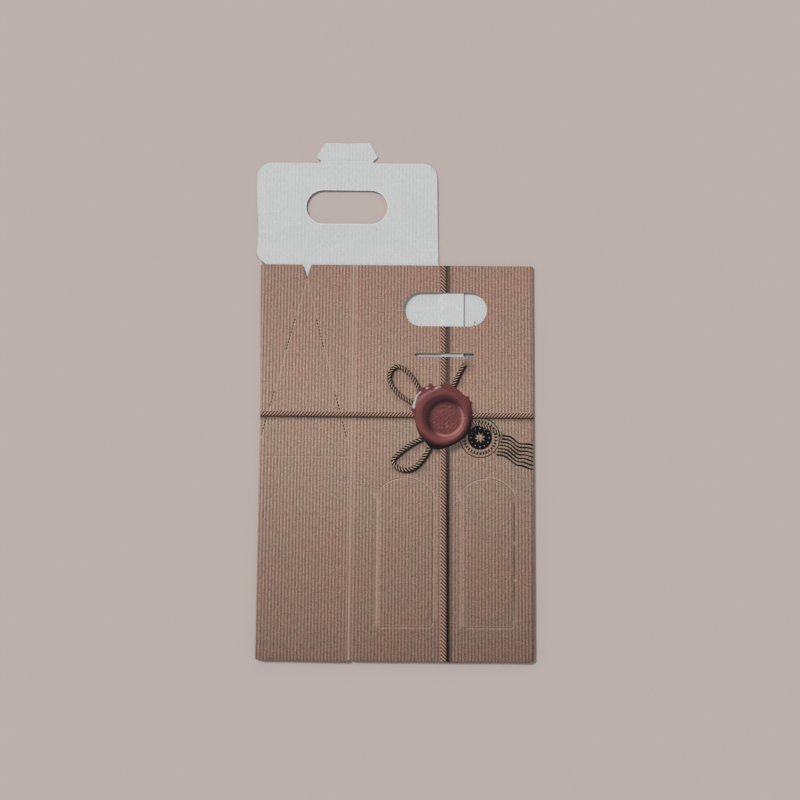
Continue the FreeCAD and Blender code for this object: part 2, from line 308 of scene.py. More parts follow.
class Plane:
    def __init__(self):
        self.p, self.e = [], []

    def line(self, pts, closed=False):
        i, n = len(self.p), len(pts)
        self.p += [(float(a), float(b)) for a, b in pts]
        self.e += [(i + k, i + k + 1) for k in range(n - 1)]
        if closed:
            self.e.append((i + n - 1, i))

    def dots(self, pts):
        self.p += [(float(a), float(b)) for a, b in pts]

    def solve(self, loops, eps=1e-4):
        r = delaunay_2d_cdt([Vector(q) for q in self.p], self.e, [], 0, eps, False)
        V = np.array([(q[0], q[1]) for q in r[0]])
        F = np.array([f for f in r[2] if len(f) == 3], int)
        A, B, C = V[F[:, 0]], V[F[:, 1]], V[F[:, 2]]
        area = (B[:, 0] - A[:, 0]) * (C[:, 1] - A[:, 1]) - (B[:, 1] - A[:, 1]) * (C[:, 0] - A[:, 0])
        F[area < 0] = F[area < 0][:, ::-1]
        F = F[np.abs(area) > 1e-9]
        F = F[inside(V[F].mean(1), loops)]
        used = np.unique(F)
        new = -np.ones(len(V), int)
        new[used] = np.arange(len(used))
        return V[used], new[F]


def rims(F):
    """Directed boundary loops of a triangle list, material on their left."""
    e = np.vstack([F[:, [0, 1]], F[:, [1, 2]], F[:, [2, 0]]])
    have = set(map(tuple, e.tolist()))
    nxt = {}
    for a, b in have:
        if (b, a) not in have:
            nxt.setdefault(a, []).append(b)
    loops = []
    while nxt:
        a = next(iter(nxt))
        loop = [a]
        while True:
            b = nxt[a].pop()
            if not nxt[a]:
                del nxt[a]
            if b == loop[0]:
                break
            loop.append(b)
            a = b
        loops.append(loop)
    return loops


def away(P, loops, gap):
    """The points that are inside the sheet and at least gap from its cut edges."""
    P = np.asarray(P, float)
    ok = inside(P, loops)
    for loop in loops:
        L = np.asarray(loop, float)
        for a, b in zip(L, np.roll(L, -1, 0)):
            d = b - a
            n2 = d @ d
            if n2 == 0:
                continue
            lo, hi = np.minimum(a, b) - gap, np.maximum(a, b) + gap
            near = np.nonzero(ok & (P[:, 0] > lo[0]) & (P[:, 0] < hi[0]) & (P[:, 1] > lo[1]) & (P[:, 1] < hi[1]))[0]
            if not len(near):
                continue
            t = np.clip(((P[near] - a) @ d) / n2, 0, 1)
            ok[near[np.linalg.norm(P[near] - a - t[:, None] * d, axis=1) < gap]] = False
    return P[ok]


LINER = 0.26              # liner thickness seen at a cut edge
RECESS = 1.3              # how deep the open flutes show


def build(name, place, outer, loops, inner_dots, relief_out, relief_in, materials, paint=None, open_loop=None):
    """A sheet of fluted board: printed face, white face, and open flutes at its cut edges."""
    V, F = outer.solve(loops)
    R = rims(F)
    inner = Plane()
    for loop in R:
        inner.line(V[loop], True)
    rim_loops = [V[loop] for loop in R]
    if len(inner_dots):
        inner.dots(away(inner_dots, rim_loops, 0.22))
    V2, F2 = inner.solve(rim_loops)
    key = {(round(float(a), 3), round(float(b), 3)): i for i, (a, b) in enumerate(V2)}

    verts, faces, mats, kinds = [], [], [], []
    flat_uv = []

    def add(P3, uv):
        i = sum(len(v) for v in verts)
        verts.append(P3)
        flat_uv.append(uv)
        return i

    def put(uv, w):
        return np.stack(place(uv[:, 0], uv[:, 1], w), 1)

    o0 = add(put(V, relief_out(V[:, 0], V[:, 1])), V)
    i0 = add(put(V2, T + relief_in(V2[:, 0], V2[:, 1])), V2)
    tri = [F + o0, (F2 + i0)[:, ::-1]]
    tmat = [np.zeros(len(F), int), np.ones(len(F2), int)]
    quads, qmat = [], []
    for loop in R:
        L = V[loop]
        n = len(loop)
        io = np.array(loop) + o0
        ii = np.array([key[(round(float(a), 3), round(float(b), 3))] for a, b in L]) + i0
        nx = np.roll(np.arange(n), -1)
        span = L.max(0) - L.min(0)
        perimeter = np.linalg.norm(L - np.roll(L, -1, 0), axis=1).sum()
        shoelace = 0.5 * abs(np.sum(L[:, 0] * np.roll(L[:, 1], -1) - L[:, 1] * np.roll(L[:, 0], -1)))
        if shoelace < 1.2 * perimeter:      # a slit: plain cut
            quads.append(np.stack([io[nx], io, ii, ii[nx]], 1))
            qmat.append(np.full(n, 2))
            continue
        d = np.roll(L, -1, 0) - L
        d /= np.maximum(np.linalg.norm(d, axis=1), 1e-9)[:, None]
        nn = np.stack([-d[:, 1], d[:, 0]], 1)
        nv = nn + np.roll(nn, 1, 0)
        nv /= np.maximum(np.linalg.norm(nv, axis=1), 1e-6)[:, None]
        inset = L + nv * RECESS
        b0 = add(put(L, LINER), L) + np.arange(n)
        b1 = add(put(inset, LINER), inset) + np.arange(n)
        c1 = add(put(inset, T - LINER), inset) + np.arange(n)
        c0 = add(put(L, T - LINER), L) + np.arange(n)
        for s, t in ((io, b0), (b0, b1), (b1, c1), (c1, c0), (c0, ii)):
            quads.append(np.stack([s[nx], s, t, t[nx]], 1))
            qmat.append(np.full(n, 2))
        # the corrugated paper between the liners
        dense = resample(np.vstack([L, L[:1]]), 0.37)[:-1]
        dd = np.roll(dense, -1, 0) - np.roll(dense, 1, 0)
        dd /= np.maximum(np.linalg.norm(dd, axis=1), 1e-9)[:, None]
        dn = np.stack([-dd[:, 1], dd[:, 0]], 1)
        m = len(dense)
        front, back = dense + dn * 0.10, dense + dn * (RECESS + 0.12)
        wf = T / 2 + 0.40 * np.sin(2 * np.pi * front[:, 0] / FLUTE)
        wb = T / 2 + 0.40 * np.sin(2 * np.pi * back[:, 0] / FLUTE)
        r = [add(put(front, wf - 0.09), front), add(put(back, wb - 0.09), back),
             add(put(back, wb + 0.09), back), add(put(front, wf + 0.09), front)]
        mx = np.roll(np.arange(m), -1)
        k = np.arange(m)
        for s, t in ((0, 1), (1, 2), (2, 3), (3, 0)):
            quads.append(np.stack([r[s] + mx, r[s] + k, r[t] + k, r[t] + mx], 1))
            qmat.append(np.full(m, 3))

    P = np.vstack(verts)
    UV = np.vstack(flat_uv)
    P = (P + np.array([SX, SY, 0.0])) * 0.001
    tri = np.vstack(tri)
    quads = np.vstack(quads)
    me = bpy.data.meshes.new(name)
    nt, nq = len(tri), len(quads)
    me.vertices.add(len(P))
    me.vertices.foreach_set("co", P.astype(np.float32).ravel())
    me.loops.add(3 * nt + 4 * nq)
    me.loops.foreach_set("vertex_index", np.r_[tri.ravel(), quads.ravel()].astype(np.int32))
    me.polygons.add(nt + nq)
    me.polygons.foreach_set("loop_start", np.r_[np.arange(nt) * 3, 3 * nt + np.arange(nq) * 4].astype(np.int32))
    me.polygons.foreach_set("material_index", np.r_[np.concatenate(tmat), np.concatenate(qmat)].astype(np.int32))
    me.update(calc_edges=True)
    corner = np.r_[tri.ravel(), quads.ravel()]
    layer = me.uv_layers.new(name="blank")
    layer.data.foreach_set("uv", UV[corner].astype(np.float32).ravel())
    nl = len(corner)
    # corner colours: the print, with painted shade and highlight at the creases and cuts
    ink_and_painted_light = np.zeros((nl, 4), np.float32)
    tw = np.zeros((nl, 3), np.float32)
    if paint is not None:
        a, b = paint(V, F)
        ink_and_painted_light[:3 * len(F)] = a
        tw[:3 * len(F)] = b
    at = me.attributes.new("ink_and_painted_light", "FLOAT_COLOR", "CORNER")
    at.data.foreach_set("color", ink_and_painted_light.ravel())
    at = me.attributes.new("twine", "FLOAT_VECTOR", "CORNER")
    at.data.foreach_set("vector", tw.ravel())
    for m in materials:
        me.materials.append(m)
    me.validate(verbose=False)
    me.shade_smooth()
    me.set_sharp_from_angle(angle=math.radians(38))
    ob = bpy.data.objects.new(name, me)
    bpy.context.scene.collection.objects.link(ob)
    print(name, "verts", len(P), "tris", nt + 2 * nq, "loops", len(R))
    return ob


# ---------------------------------------------------------------------------
# shader helpers
# ---------------------------------------------------------------------------
def lin(r, g, b):
    def f(c):
        c /= 255.0
        return c / 12.92 if c <= 0.04045 else ((c + 0.055) / 1.055) ** 2.4
    return (f(r), f(g), f(b), 1.0)


class Nodes:
    def __init__(self, name):
        self.mat = bpy.data.materials.new(name)
        self.mat.use_nodes = True
        self.t = self.mat.node_tree
        self.t.nodes.clear()
        self.out = self.t.nodes.new("ShaderNodeOutputMaterial")
        self.bsdf = self.t.nodes.new("ShaderNodeBsdfPrincipled")
        self.t.links.new(self.bsdf.outputs[0], self.out.inputs[0])

    def put(self, socket, value):
        if hasattr(value, "is_linked") or hasattr(value, "links"):
            self.t.links.new(value, socket)
        else:
            socket.default_value = value

    def math(self, op, a, b=None, c=None, clamp=False):
        n = self.t.nodes.new("ShaderNodeMath")
        n.operation = op
        n.use_clamp = clamp
        for i, v in enumerate((a, b, c)):
            if v is not None:
                self.put(n.inputs[i], v)
        return n.outputs[0]

    def attribute(self, name, out):
        n = self.t.nodes.new("ShaderNodeAttribute")
        n.attribute_name = name
        return n.outputs[out]

    def uv(self):
        n = self.t.nodes.new("ShaderNodeUVMap")
        n.uv_map = "blank"
        s = self.t.nodes.new("ShaderNodeSeparateXYZ")
        self.t.links.new(n.outputs[0], s.inputs[0])
        return s.outputs[0], s.outputs[1]

    def xyz(self, x, y, z=0.0):
        n = self.t.nodes.new("ShaderNodeCombineXYZ")
        for i, v in enumerate((x, y, z)):
            self.put(n.inputs[i], v)
        return n.outputs[0]

    def split(self, v):
        n = self.t.nodes.new("ShaderNodeSeparateXYZ")
        self.t.links.new(v, n.inputs[0])
        return n.outputs

    def noise(self, vector, scale, detail=2.0, rough=0.5):
        n = self.t.nodes.new("ShaderNodeTexNoise")
        n.inputs["Scale"].default_value = scale
        n.inputs["Detail"].default_value = detail
        n.inputs["Roughness"].default_value = rough
        self.t.links.new(vector, n.inputs["Vector"])
        return n.outputs[0]

    def ramp(self, fac, stops, mode="LINEAR"):
        n = self.t.nodes.new("ShaderNodeValToRGB")
        n.color_ramp.interpolation = mode
        e = n.color_ramp.elements
        while len(e) < len(stops):
            e.new(0.5)
        for i, (p, c) in enumerate(stops):
            e[i].position = p
            e[i].color = c if len(c) == 4 else (*c, 1.0)
        self.put(n.inputs[0], fac)
        return n.outputs[0]

    def mix(self, fac, a, b, kind="MIX"):
        n = self.t.nodes.new("ShaderNodeMix")
        n.data_type = "RGBA"
        n.blend_type = kind
        self.put(n.inputs[0], fac)
        self.put(n.inputs[6], a)
        self.put(n.inputs[7], b)
        return n.outputs[2]

    def scale(self, colour, value):
        """Colour times a grey value."""
        n = self.t.nodes.new("ShaderNodeVectorMath")
        n.operation = "SCALE"
        self.put(n.inputs[0], colour)
        self.put(n.inputs["Scale"], value)
        return n.outputs[0]

    def bump(self, height, strength, distance):
        n = self.t.nodes.new("ShaderNodeBump")
        n.inputs["Strength"].default_value = strength
        n.inputs["Distance"].default_value = distance
        self.put(n.inputs["Height"], height)
        self.t.links.new(n.outputs[0], self.bsdf.inputs["Normal"])

    def finish(self, colour, rough, specular=0.25):
        self.put(self.bsdf.inputs["Base Color"], colour)
        self.put(self.bsdf.inputs["Roughness"], rough)
        self.bsdf.inputs["Specular IOR Level"].default_value = specular
        return self.mat


# Illumination brings a reflectance r to about 0.70 r on the picture, so a wanted
# colour is divided by that.
LIGHT = 0.70


def seen(r, g, b):
    c = lin(r, g, b)
    return (min(c[0] / LIGHT, 0.95), min(c[1] / LIGHT, 0.95), min(c[2] / LIGHT, 0.95), 1.0)


def print_material():
    n = Nodes("printed_kraft")
    u, v = n.uv()
    # slow change from top to bottom
    t = n.math("DIVIDE", n.math("MULTIPLY", v, -1.0), 400.0, clamp=True)
    base_col = n.ramp(t, [(0.0, seen(154, 125, 112)), (0.18, seen(159, 131, 117)), (0.32, seen(163, 137, 122)),
                          (0.42, seen(160, 136, 121)),
                          (0.58, seen(152, 128, 115)), (0.72, seen(144, 118, 106)), (0.86, seen(136, 111, 99)),
                          (1.0, seen(123, 98, 87))])
    # soft mottling: greyer and redder patches
    place = n.xyz(u, v)
    big = n.noise(place, 0.021, 2.0, 0.5)
    mid = n.noise(n.xyz(n.math("MULTIPLY", u, 1.0), n.math("MULTIPLY", v, 0.6)), 0.085, 3.0, 0.55)
    warm = n.math("MULTIPLY_ADD", big, 2.6, -0.8, clamp=True)
    col = n.mix(warm, n.mix(1.0, base_col, (0.985, 1.003, 0.985, 1.0), "MULTIPLY"),
                n.mix(1.0, base_col, (1.06, 0.965, 0.93, 1.0), "MULTIPLY"))
    col = n.mix(n.math("MULTIPLY", n.math("MULTIPLY_ADD", mid, 3.2, -1.1, clamp=True), 0.7), col,
                n.mix(1.0, col, (0.91, 0.96, 0.98, 1.0), "MULTIPLY"))
    # printed stripes with fibrous edges
    fibre = n.noise(n.xyz(n.math("MULTIPLY", u, 0.9), n.math("MULTIPLY", v, 0.16)), 1.0, 3.0, 0.6)
    wobble = n.math("MULTIPLY_ADD", fibre, 1.4, -0.7)
    wave_ = n.math("SINE", n.math("MULTIPLY_ADD", n.math("ADD", u, n.math("MULTIPLY", wobble, 0.48)), 2 * math.pi / 3.21, 0.9))
    soft = n.math("MULTIPLY_ADD", n.math("ARCTAN2", n.math("MULTIPLY", wave_, 1.3), 1.0), 0.55, 0.5)
    grain = n.noise(place, 0.85, 3.0, 0.75)
    knit = n.noise(n.xyz(n.math("MULTIPLY", u, 0.5), v), 0.62, 2.0, 0.6)
    # the stripes: reddish brown between greyer beige
    amount = n.math("MULTIPLY_ADD", n.noise(place, 0.12, 2.0, 0.5), 0.9, 0.5, clamp=True)
    stripe = n.mix(soft, (0.675, 0.605, 0.585, 1.0), (1.255, 1.315, 1.32, 1.0))
    col = n.mix(amount, col, n.mix(1.0, col, stripe, "MULTIPLY"))
    shade = n.math("MULTIPLY_ADD", grain, 2.1, 1.0 - 1.05)
    shade = n.math("ADD", shade, n.math("MULTIPLY_ADD", fibre, 0.8, -0.4))
    shade = n.math("ADD", shade, n.math("MULTIPLY_ADD", knit, 0.8, -0.40))
    # a little darker towards the lower right
    right = n.math("DIVIDE", u, 170.0, clamp=True)
    down = n.math("MULTIPLY", t, 2.2, clamp=True)
    shade = n.math("SUBTRACT", shade, n.math("MULTIPLY", n.math("MULTIPLY", right, down), 0.105))
    col = n.scale(col, n.math("MAXIMUM", shade, 0.3))
    # printed shadows, ink and seal, with the painted shade and highlight of the creases and cuts
    ink_and_painted_light = n.attribute("ink_and_painted_light", "Color")
    alpha = n.attribute("ink_and_painted_light", "Alpha")
    col = n.mix(alpha, col, ink_and_painted_light)
    # twine
    s, tt, kind = n.split(n.attribute("twine", "Vector"))
    main = n.math("GREATER_THAN", kind, 0.5)
    bow = n.math("GREATER_THAN", kind, 1.5)
    phase = n.math("FRACT", s)
    # round: lit at its upper left, dark towards the lower right (tt = +1)
    side = n.math("MAXIMUM", n.math("ADD", tt, 0.15), 0.0)
    round_ = n.math("SUBTRACT", 1.0, n.math("MULTIPLY", n.math("MULTIPLY", side, side), 0.62))
    strand = n.ramp(phase, [(0.0, seen(40, 27, 24)), (0.20, seen(66, 44, 38)), (0.38, seen(176, 138, 119)),
                            (0.56, seen(198, 163, 143)), (0.72, seen(150, 112, 97)), (0.86, seen(70, 46, 40)),
                            (1.0, seen(38, 26, 23))])
    strand_b = n.ramp(phase, [(0.0, seen(14, 11, 10)), (0.32, seen(27, 21, 18)), (0.47, seen(172, 144, 120)),
                              (0.64, seen(210, 181, 154)), (0.76, seen(116, 92, 76)), (0.86, seen(21, 17, 15)),
                              (1.0, seen(14, 11, 10))])
    both = n.mix(bow, strand, strand_b)
    # the bow's rope is dark along both edges
    rim = n.math("MULTIPLY_ADD", n.math("SUBTRACT", kind, 2.0), 6.2, -1.45, clamp=True)
    round_ = n.math("MULTIPLY", round_, n.math("SUBTRACT", 1.0, n.math("MULTIPLY", n.math("MULTIPLY", rim, bow), 0.85)))
    both = n.scale(both, n.math("MULTIPLY", round_, n.math("MULTIPLY_ADD", grain, 0.7, 0.65)))
    col = n.mix(main, col, both)
    # paper tooth and a trace of the flutes under the print
    rib = n.math("SINE", n.math("MULTIPLY", u, 2 * math.pi / FLUTE))
    h = n.math("ADD", n.math("MULTIPLY", rib, 0.35), n.math("MULTIPLY", n.noise(place, 2.2, 2.0, 0.6), 0.6))
    n.bump(h, 0.22, 0.0001)
    rough = n.math("MULTIPLY_ADD", fibre, 0.14, 0.58)
    return n.finish(col, rough, 0.22)


def white_material():
    n = Nodes("white_liner")
    u, v = n.uv()
    place = n.xyz(u, v)
    blot = n.noise(place, 0.05, 3.0, 0.55)
    fine = n.noise(n.xyz(u, n.math("MULTIPLY", v, 0.25)), 0.9, 3.0, 0.6)
    col = n.mix(n.math("MULTIPLY_ADD", blot, 2.0, -0.5, clamp=True), seen(195, 198, 198), seen(200, 201, 200))
    # painted shade and light across each flute, a faint stripe in the white's colour
    rib = n.math("SINE", n.math("MULTIPLY", u, 2 * math.pi / FLUTE))
    shade = n.math("MULTIPLY_ADD", rib, 0.014, 0.993)
    shade = n.math("ADD", shade, n.math("MULTIPLY_ADD", fine, 0.28, -0.14))
    shade = n.math("ADD", shade, n.math("MULTIPLY_ADD", n.noise(place, 0.8, 3.0, 0.7), 0.40, -0.20))
    speck = n.math("GREATER_THAN", n.noise(place, 1.6, 1.0, 0.5), 0.735)
    shade = n.math("SUBTRACT", shade, n.math("MULTIPLY", speck, 0.07))
    # painted shade: greyer inside the tube below the hand hole, most on the inner side panel
    inside = n.math("MULTIPLY_ADD", v, -0.07, -5.1, clamp=True)
    far = n.math("MULTIPLY_ADD", u, 0.5, -100.0, clamp=True)
    painted_tube_shade = n.math("MULTIPLY", inside, n.math("MULTIPLY_ADD", far, 0.28, 0.15))
    shade = n.math("MULTIPLY", shade, n.math("SUBTRACT", 1.0, painted_tube_shade))

    def band(d, half):
        return n.math("SUBTRACT", 1.0, n.math("DIVIDE", n.math("ABSOLUTE", d), half), clamp=True)
    # painted highlight: a pale rim round the flap's hand hole, where its cut edge catches the light
    cx, cy = -HOLE_FLAP[0], HOLE_FLAP[1]
    dx = n.math("MAXIMUM", n.math("SUBTRACT", n.math("ABSOLUTE", n.math("SUBTRACT", u, cx)), (HOLE_FLAP_W - HOLE_H) / 2), 0.0)
    dy = n.math("SUBTRACT", v, cy)
    d = n.math("SQRT", n.math("ADD", n.math("MULTIPLY", dx, dx), n.math("MULTIPLY", dy, dy)))
    rim = band(n.math("SUBTRACT", d, HOLE_H / 2 + 0.5), 0.9)
    shade = n.math("ADD", shade, n.math("MULTIPLY", rim, 0.13))
    # painted highlight on the free edge of the glue flap, and a painted shadow in the line beside it
    shade = n.math("ADD", shade, n.math("MULTIPLY", band(n.math("SUBTRACT", u, UE + 0.6), 1.1), 0.12))
    glue_edge_shadow = band(n.math("SUBTRACT", u, u_side(GLUE_END + 0.5, -44.0)), 1.25)
    shade = n.math("SUBTRACT", shade, n.math("MULTIPLY", glue_edge_shadow, 0.34))
    # painted shadow: a dim corner under the left flank of the notch
    flank = n.math("MULTIPLY_ADD", v, 4.5 / NOTCH_D, u_back(NOTCH_A - 5.1))
    dark = n.math("MULTIPLY", band(n.math("SUBTRACT", u, flank), 2.4), n.math("MULTIPLY", v, -0.6, clamp=True))
    shade = n.math("SUBTRACT", shade, n.math("MULTIPLY", dark, 0.45))
    col = n.scale(col, shade)
    n.bump(n.noise(place, 2.5, 3.0, 0.65), 0.18, 0.0001)
    return n.finish(col, n.math("MULTIPLY_ADD", fine, 0.12, 0.68), 0.2)


def edge_material():
    n = Nodes("cut_liner_edge")
    u, v = n.uv()
    place = n.xyz(u, v)
    g = n.noise(place, 3.0, 3.0, 0.6)
    col = n.mix(g, seen(176, 172, 165), seen(205, 203, 198))
    n.bump(g, 0.3, 0.0001)
    return n.finish(col, n.math("MULTIPLY_ADD", g, 0.1, 0.8), 0.15)


def medium_material():
    n = Nodes("flute_paper")
    u, v = n.uv()
    g = n.noise(n.xyz(u, v), 2.4, 3.0, 0.6)
    col = n.mix(n.math("MULTIPLY_ADD", g, 3.0, -1.0, clamp=True), seen(66, 58, 48), seen(150, 139, 123))
    n.bump(g, 0.3, 0.0001)
    return n.finish(col, n.math("MULTIPLY_ADD", g, 0.1, 0.82), 0.15)


PRINT, WHITE, EDGE, MEDIUM = print_material(), white_material(), edge_material(), medium_material()
SHEET = [PRINT, WHITE, EDGE, MEDIUM]

# ---------------------------------------------------------------------------
# print: the twine, bow, seal and postmark as outlines on the front panel
# ---------------------------------------------------------------------------
TV_X = 89.0               # twine's middle at the top edge
TV_HALF, TH_HALF = 2.85, 2.4
TH_Y = -148.5


def bow_path(points, step=1.5):
    return spline(points, step)


BOWS = [
    bow_path([(72.5, -133.0), (65.6, -122.8), (58.1, -111.0), (51.2, -104.0), (44.4, -100.6), (38.4, -104.4),
              (36.0, -112.0), (38.6, -120.2), (46.0, -128.6), (58.2, -136.4), (66.0, -140.4)]),
    bow_path([(76.0, -167.0), (70.3, -170.9), (60.2, -175.8), (47.4, -185.2), (40.6, -192.8), (43.4, -199.2),
              (52.4, -202.4), (62.2, -199.2), (70.4, -190.2), (76.8, -178.8), (79.6, -171.6)]),
    bow_path([(97.0, -124.0), (99.6, -118.0), (104.0, -108.6), (109.2, -98.8)]),
    bow_path([(112.0, -153.5), (119.5, -155.4), (131.0, -160.0), (145.8, -166.6)]),
]
BOW_HALF = [1.8, 1.95, 1.8, 1.75]
BOW_PITCH = [3.15, 3.15, 3.1, 3.1]

SEAL_C = np.array([91.0, -151.0])
SEAL = spline([(65.7, -122.4), (70.2, -121.4), (74.2, -119.6), (76.7, -116.9), (79.3, -119.4), (83.5, -120.2),
               (89.6, -117.3), (96.6, -118.6), (103.7, -123.2), (110.7, -129.3), (114.4, -130.0), (115.6, -134.2),
               (118.4, -136.2), (117.0, -138.6), (118.2, -146.8), (117.6, -155.0), (115.4, -164.2), (110.2, -170.4),
               (103.0, -175.6), (95.8, -179.2), (88.6, -181.8), (82.4, -182.2), (76.2, -180.0), (72.2, -175.4),
               (67.4, -170.4), (64.0, -163.2), (61.6, -155.0), (60.7, -149.0), (57.6, -143.6), (58.2, -140.0),
               (60.0, -136.4), (62.0, -131.2), (63.6, -126.0), (65.7, -122.4)], 1.0)[:-1]
POST_C = np.array([125.2, -170.3])


def along(P, path):
    """Arc position and signed side distance of points from a path, and the plain distance."""
    p = np.asarray(path, float)
    a, b = p[:-1], p[1:]
    d = b - a
    ln = np.linalg.norm(d, axis=1)
    s0 = np.r_[0, np.cumsum(ln)[:-1]]
    best = np.full(len(P), 1e9)
    S, D = np.zeros(len(P)), np.zeros(len(P))
    for k in range(len(d)):
        r = P - a[k]
        t = np.clip((r @ d[k]) / (ln[k] ** 2), 0, 1)
        q = r - t[:, None] * d[k]
        dist = np.linalg.norm(q, axis=1)
        side = (d[k][0] * r[:, 1] - d[k][1] * r[:, 0]) / ln[k]
        m = dist < best
        best[m] = dist[m]
        S[m] = (s0[k] + t * ln[k])[m]
        D[m] = side[m]
    return S, D, best


def shadow(P):
    """Printed shadow beside the twine, bow and seal: how dark, 0 to 1."""
    u, v = P[:, 0], P[:, 1]
    front = (u > -96) & (u < 183)
    a = np.zeros(len(P))
    d = u - (TV_X - 0.0046 * v) - TV_HALF
    down = 0.82 + 0.18 * smooth((-v - 120) / 120.0)
    a = np.maximum(a, np.where((d > -0.5) & (d < 7) & front, down * np.interp(d, [-0.5, 1.3, 2.6, 4.2, 6.8], [0.99, 0.98, 0.76, 0.34, 0.0]), 0))
    d = TH_Y - TH_HALF - v
    a = np.maximum(a, np.where((d > -0.5) & (d < 7), np.interp(d, [-0.5, 0.6, 1.6, 3.2, 6.0], [0.97, 0.90, 0.52, 0.18, 0.0]), 0))
    for j, (path, half) in enumerate(zip(BOWS, BOW_HALF)):
        near = np.nonzero((np.abs(u - path[:, 0].mean()) < 45) & (np.abs(v - path[:, 1].mean()) < 45))[0]
        if len(near):
            S, D, dist = along(P[near] - np.array([1.6, -1.5]), path)
            k = 1.0 if j < 3 else 0.45
            a[near] = np.maximum(a[near], np.interp(dist, [0, half * 0.9, half + 1.2], [k, k * 0.95, 0.0]))
    r = P - (SEAL_C + np.array([-1.5, -1.6]))
    dist = np.linalg.norm(r, axis=1)
    lower = smooth((r @ np.array([0.62, -0.78])) / np.maximum(dist, 1e-6) * 1.2 + 0.1)
    a = np.maximum(a, lower * np.interp(dist, [0, 31.5, 35.5], [0.75, 0.62, 0.0]))
    return a


def wear_and_highlight(P):
    """Pale lines beside the cuts and creases, 0 to 1: painted highlight on the slopes that face the light, and print
    torn pale at the nicks.
    """
    u, v = P[:, 0], P[:, 1]
    a = np.zeros(len(P))

    def peak(d, at, w, k):
        return k * np.exp(-((d - at) / w) ** 2)
    # crease beside the side panel: painted highlight on its slopes that face the light
    on = (v > -PANEL_H - 1)
    fade = np.interp(-v, [150.0, 330.0], [1.0, 0.4])
    a += np.where(on, peak(u, -0.5, 0.75, 0.66) + fade * (peak(u, 2.3, 0.8, 0.32) + peak(u, -3.0, 0.8, 0.14)), 0)
    for y, x in ((-272.0, DOORS[1][1] - 0.2), (-307.5, DOORS[1][1] + 0.5)):     # nicks torn pale
        a += 0.75 * np.exp(-(np.hypot(u - x, v - y) / 0.85) ** 2)
    # painted highlight on the door creases and beside the door cuts, on the sides that face the light
    for k, (x0, x1) in enumerate(DOORS):
        span = smooth((DOOR_SPRING + 4 - v) / 8.0) * smooth((v - DOOR_BOTTOM + 2) / 6.0)
        c = x0 + 1.8
        a += span * (peak(u, c + 1.0, 1.9, 0.30 if k == 0 else 0.19) + peak(u, c - 1.6, 0.6, 0.12))
        near = np.nonzero((u > x0 - 4) & (u < x1 + 5) & (v < DOOR_TOP + 4) & (v > DOOR_BOTTOM - 4))[0]
        if len(near):
            path = np.array(arch(x0, x1))
            S, D, dist = along(P[near], path)
            un, vn = u[near], v[near]
            arc_ = vn > DOOR_SPRING - 1
            low = vn < DOOR_BOTTOM + 6
            g = np.where(arc_ & (un < (x0 + x1) / 2), peak(D, 0.75, 0.5, 0.62) + peak(D, -0.8, 0.45, 0.2), 0)
            g = np.where(arc_ & (un >= (x0 + x1) / 2), peak(D, -0.75, 0.5, 0.55) + peak(D, 0.8, 0.45, 0.15), g)
            g = np.where(~arc_ & ~low & (un > x0 + 9), (peak(D, -0.8, 0.55, 0.38) + peak(D, -2.9, 0.5, 0.20)) if k == 0
                         else peak(D, -0.8, 0.5, 0.34), g)
            g = np.where(low & (un > x0 + 1.5), peak(D, -0.8, 0.5, 0.33) + peak(D, 1.2, 0.5, 0.12), g)
            a[near] += g
    # the pressed V below each notch, and the crease across the side panel: painted highlight beside them
    for cx in (NOTCH_A, nb):
        for sgn in (-1, 1):
            s = seg_dist(u - 0.8, v, APEX if cx == NOTCH_A else (nb, APEX[1]), (cx + sgn * GUSSET_HALF, GUSSET_Y))
            a += 0.34 * np.exp(-(s / 0.5) ** 2)
    a += np.where((u < -1) & (u > -92), peak(v, CROSS_Y - 0.9, 0.55, 0.28), 0)
    return np.clip(a, 0, 0.8)


def crease_shade(P):
    """Painted shade: thin dark lines in the pressed creases and along the door cuts, 0 to 1."""
    u, v = P[:, 0], P[:, 1]
    a = np.where(v > -PANEL_H - 1, 0.30 * np.exp(-((u - 0.9) / 0.5) ** 2) + 0.18 * np.exp(-((u + 2.0) / 0.5) ** 2), 0)
    a = a + np.where((u < -1) & (u > -92), 0.18 * np.exp(-((v - CROSS_Y) / 0.45) ** 2), 0)
    for k, (x0, x1) in enumerate(DOORS):
        span = smooth((DOOR_SPRING + 2 - v) / 8.0) * smooth((v - DOOR_BOTTOM + 1) / 6.0)
        a = a + span * (0.30 if k == 0 else 0.16) * np.exp(-((u - x0 + 0.1) / 0.7) ** 2)
        near = np.nonzero((u > x0 + 5) & (u < x1 + 3) & (v < DOOR_TOP + 3) & (v > DOOR_BOTTOM - 3))[0]
        if len(near):
            S, D, dist = along(P[near], np.array(arch(x0, x1)))
            a[near] = a[near] + 0.34 * np.exp(-(dist / 0.42) ** 2)
            # painted shade in the gaping right side of the right door
            if k == 1:      # the gaping right side
                gap = smooth((-230 - v[near]) / 8.0) * smooth((v[near] + 345) / 30.0)
                a[near] = a[near] + gap * 0.95 * np.exp(-((u[near] - x1) / 0.72) ** 2)
                for y in (-272.0, -307.5):
                    a[near] = a[near] * (1 - np.exp(-(np.hypot(u[near] - x1, v[near] - y) / 1.3) ** 2))
    return np.clip(a, 0, 0.92)


SHADOW = np.array(seen(15, 10, 8)[:3])
# pale colour of worn print, also used for painted highlight on lit crease slopes
PALE_WEAR_AND_HIGHLIGHT = np.array(seen(198, 172, 154)[:3])
# colour of the painted shade in creases and cuts
CREASE_SHADE = np.array(seen(66, 46, 40)[:3])


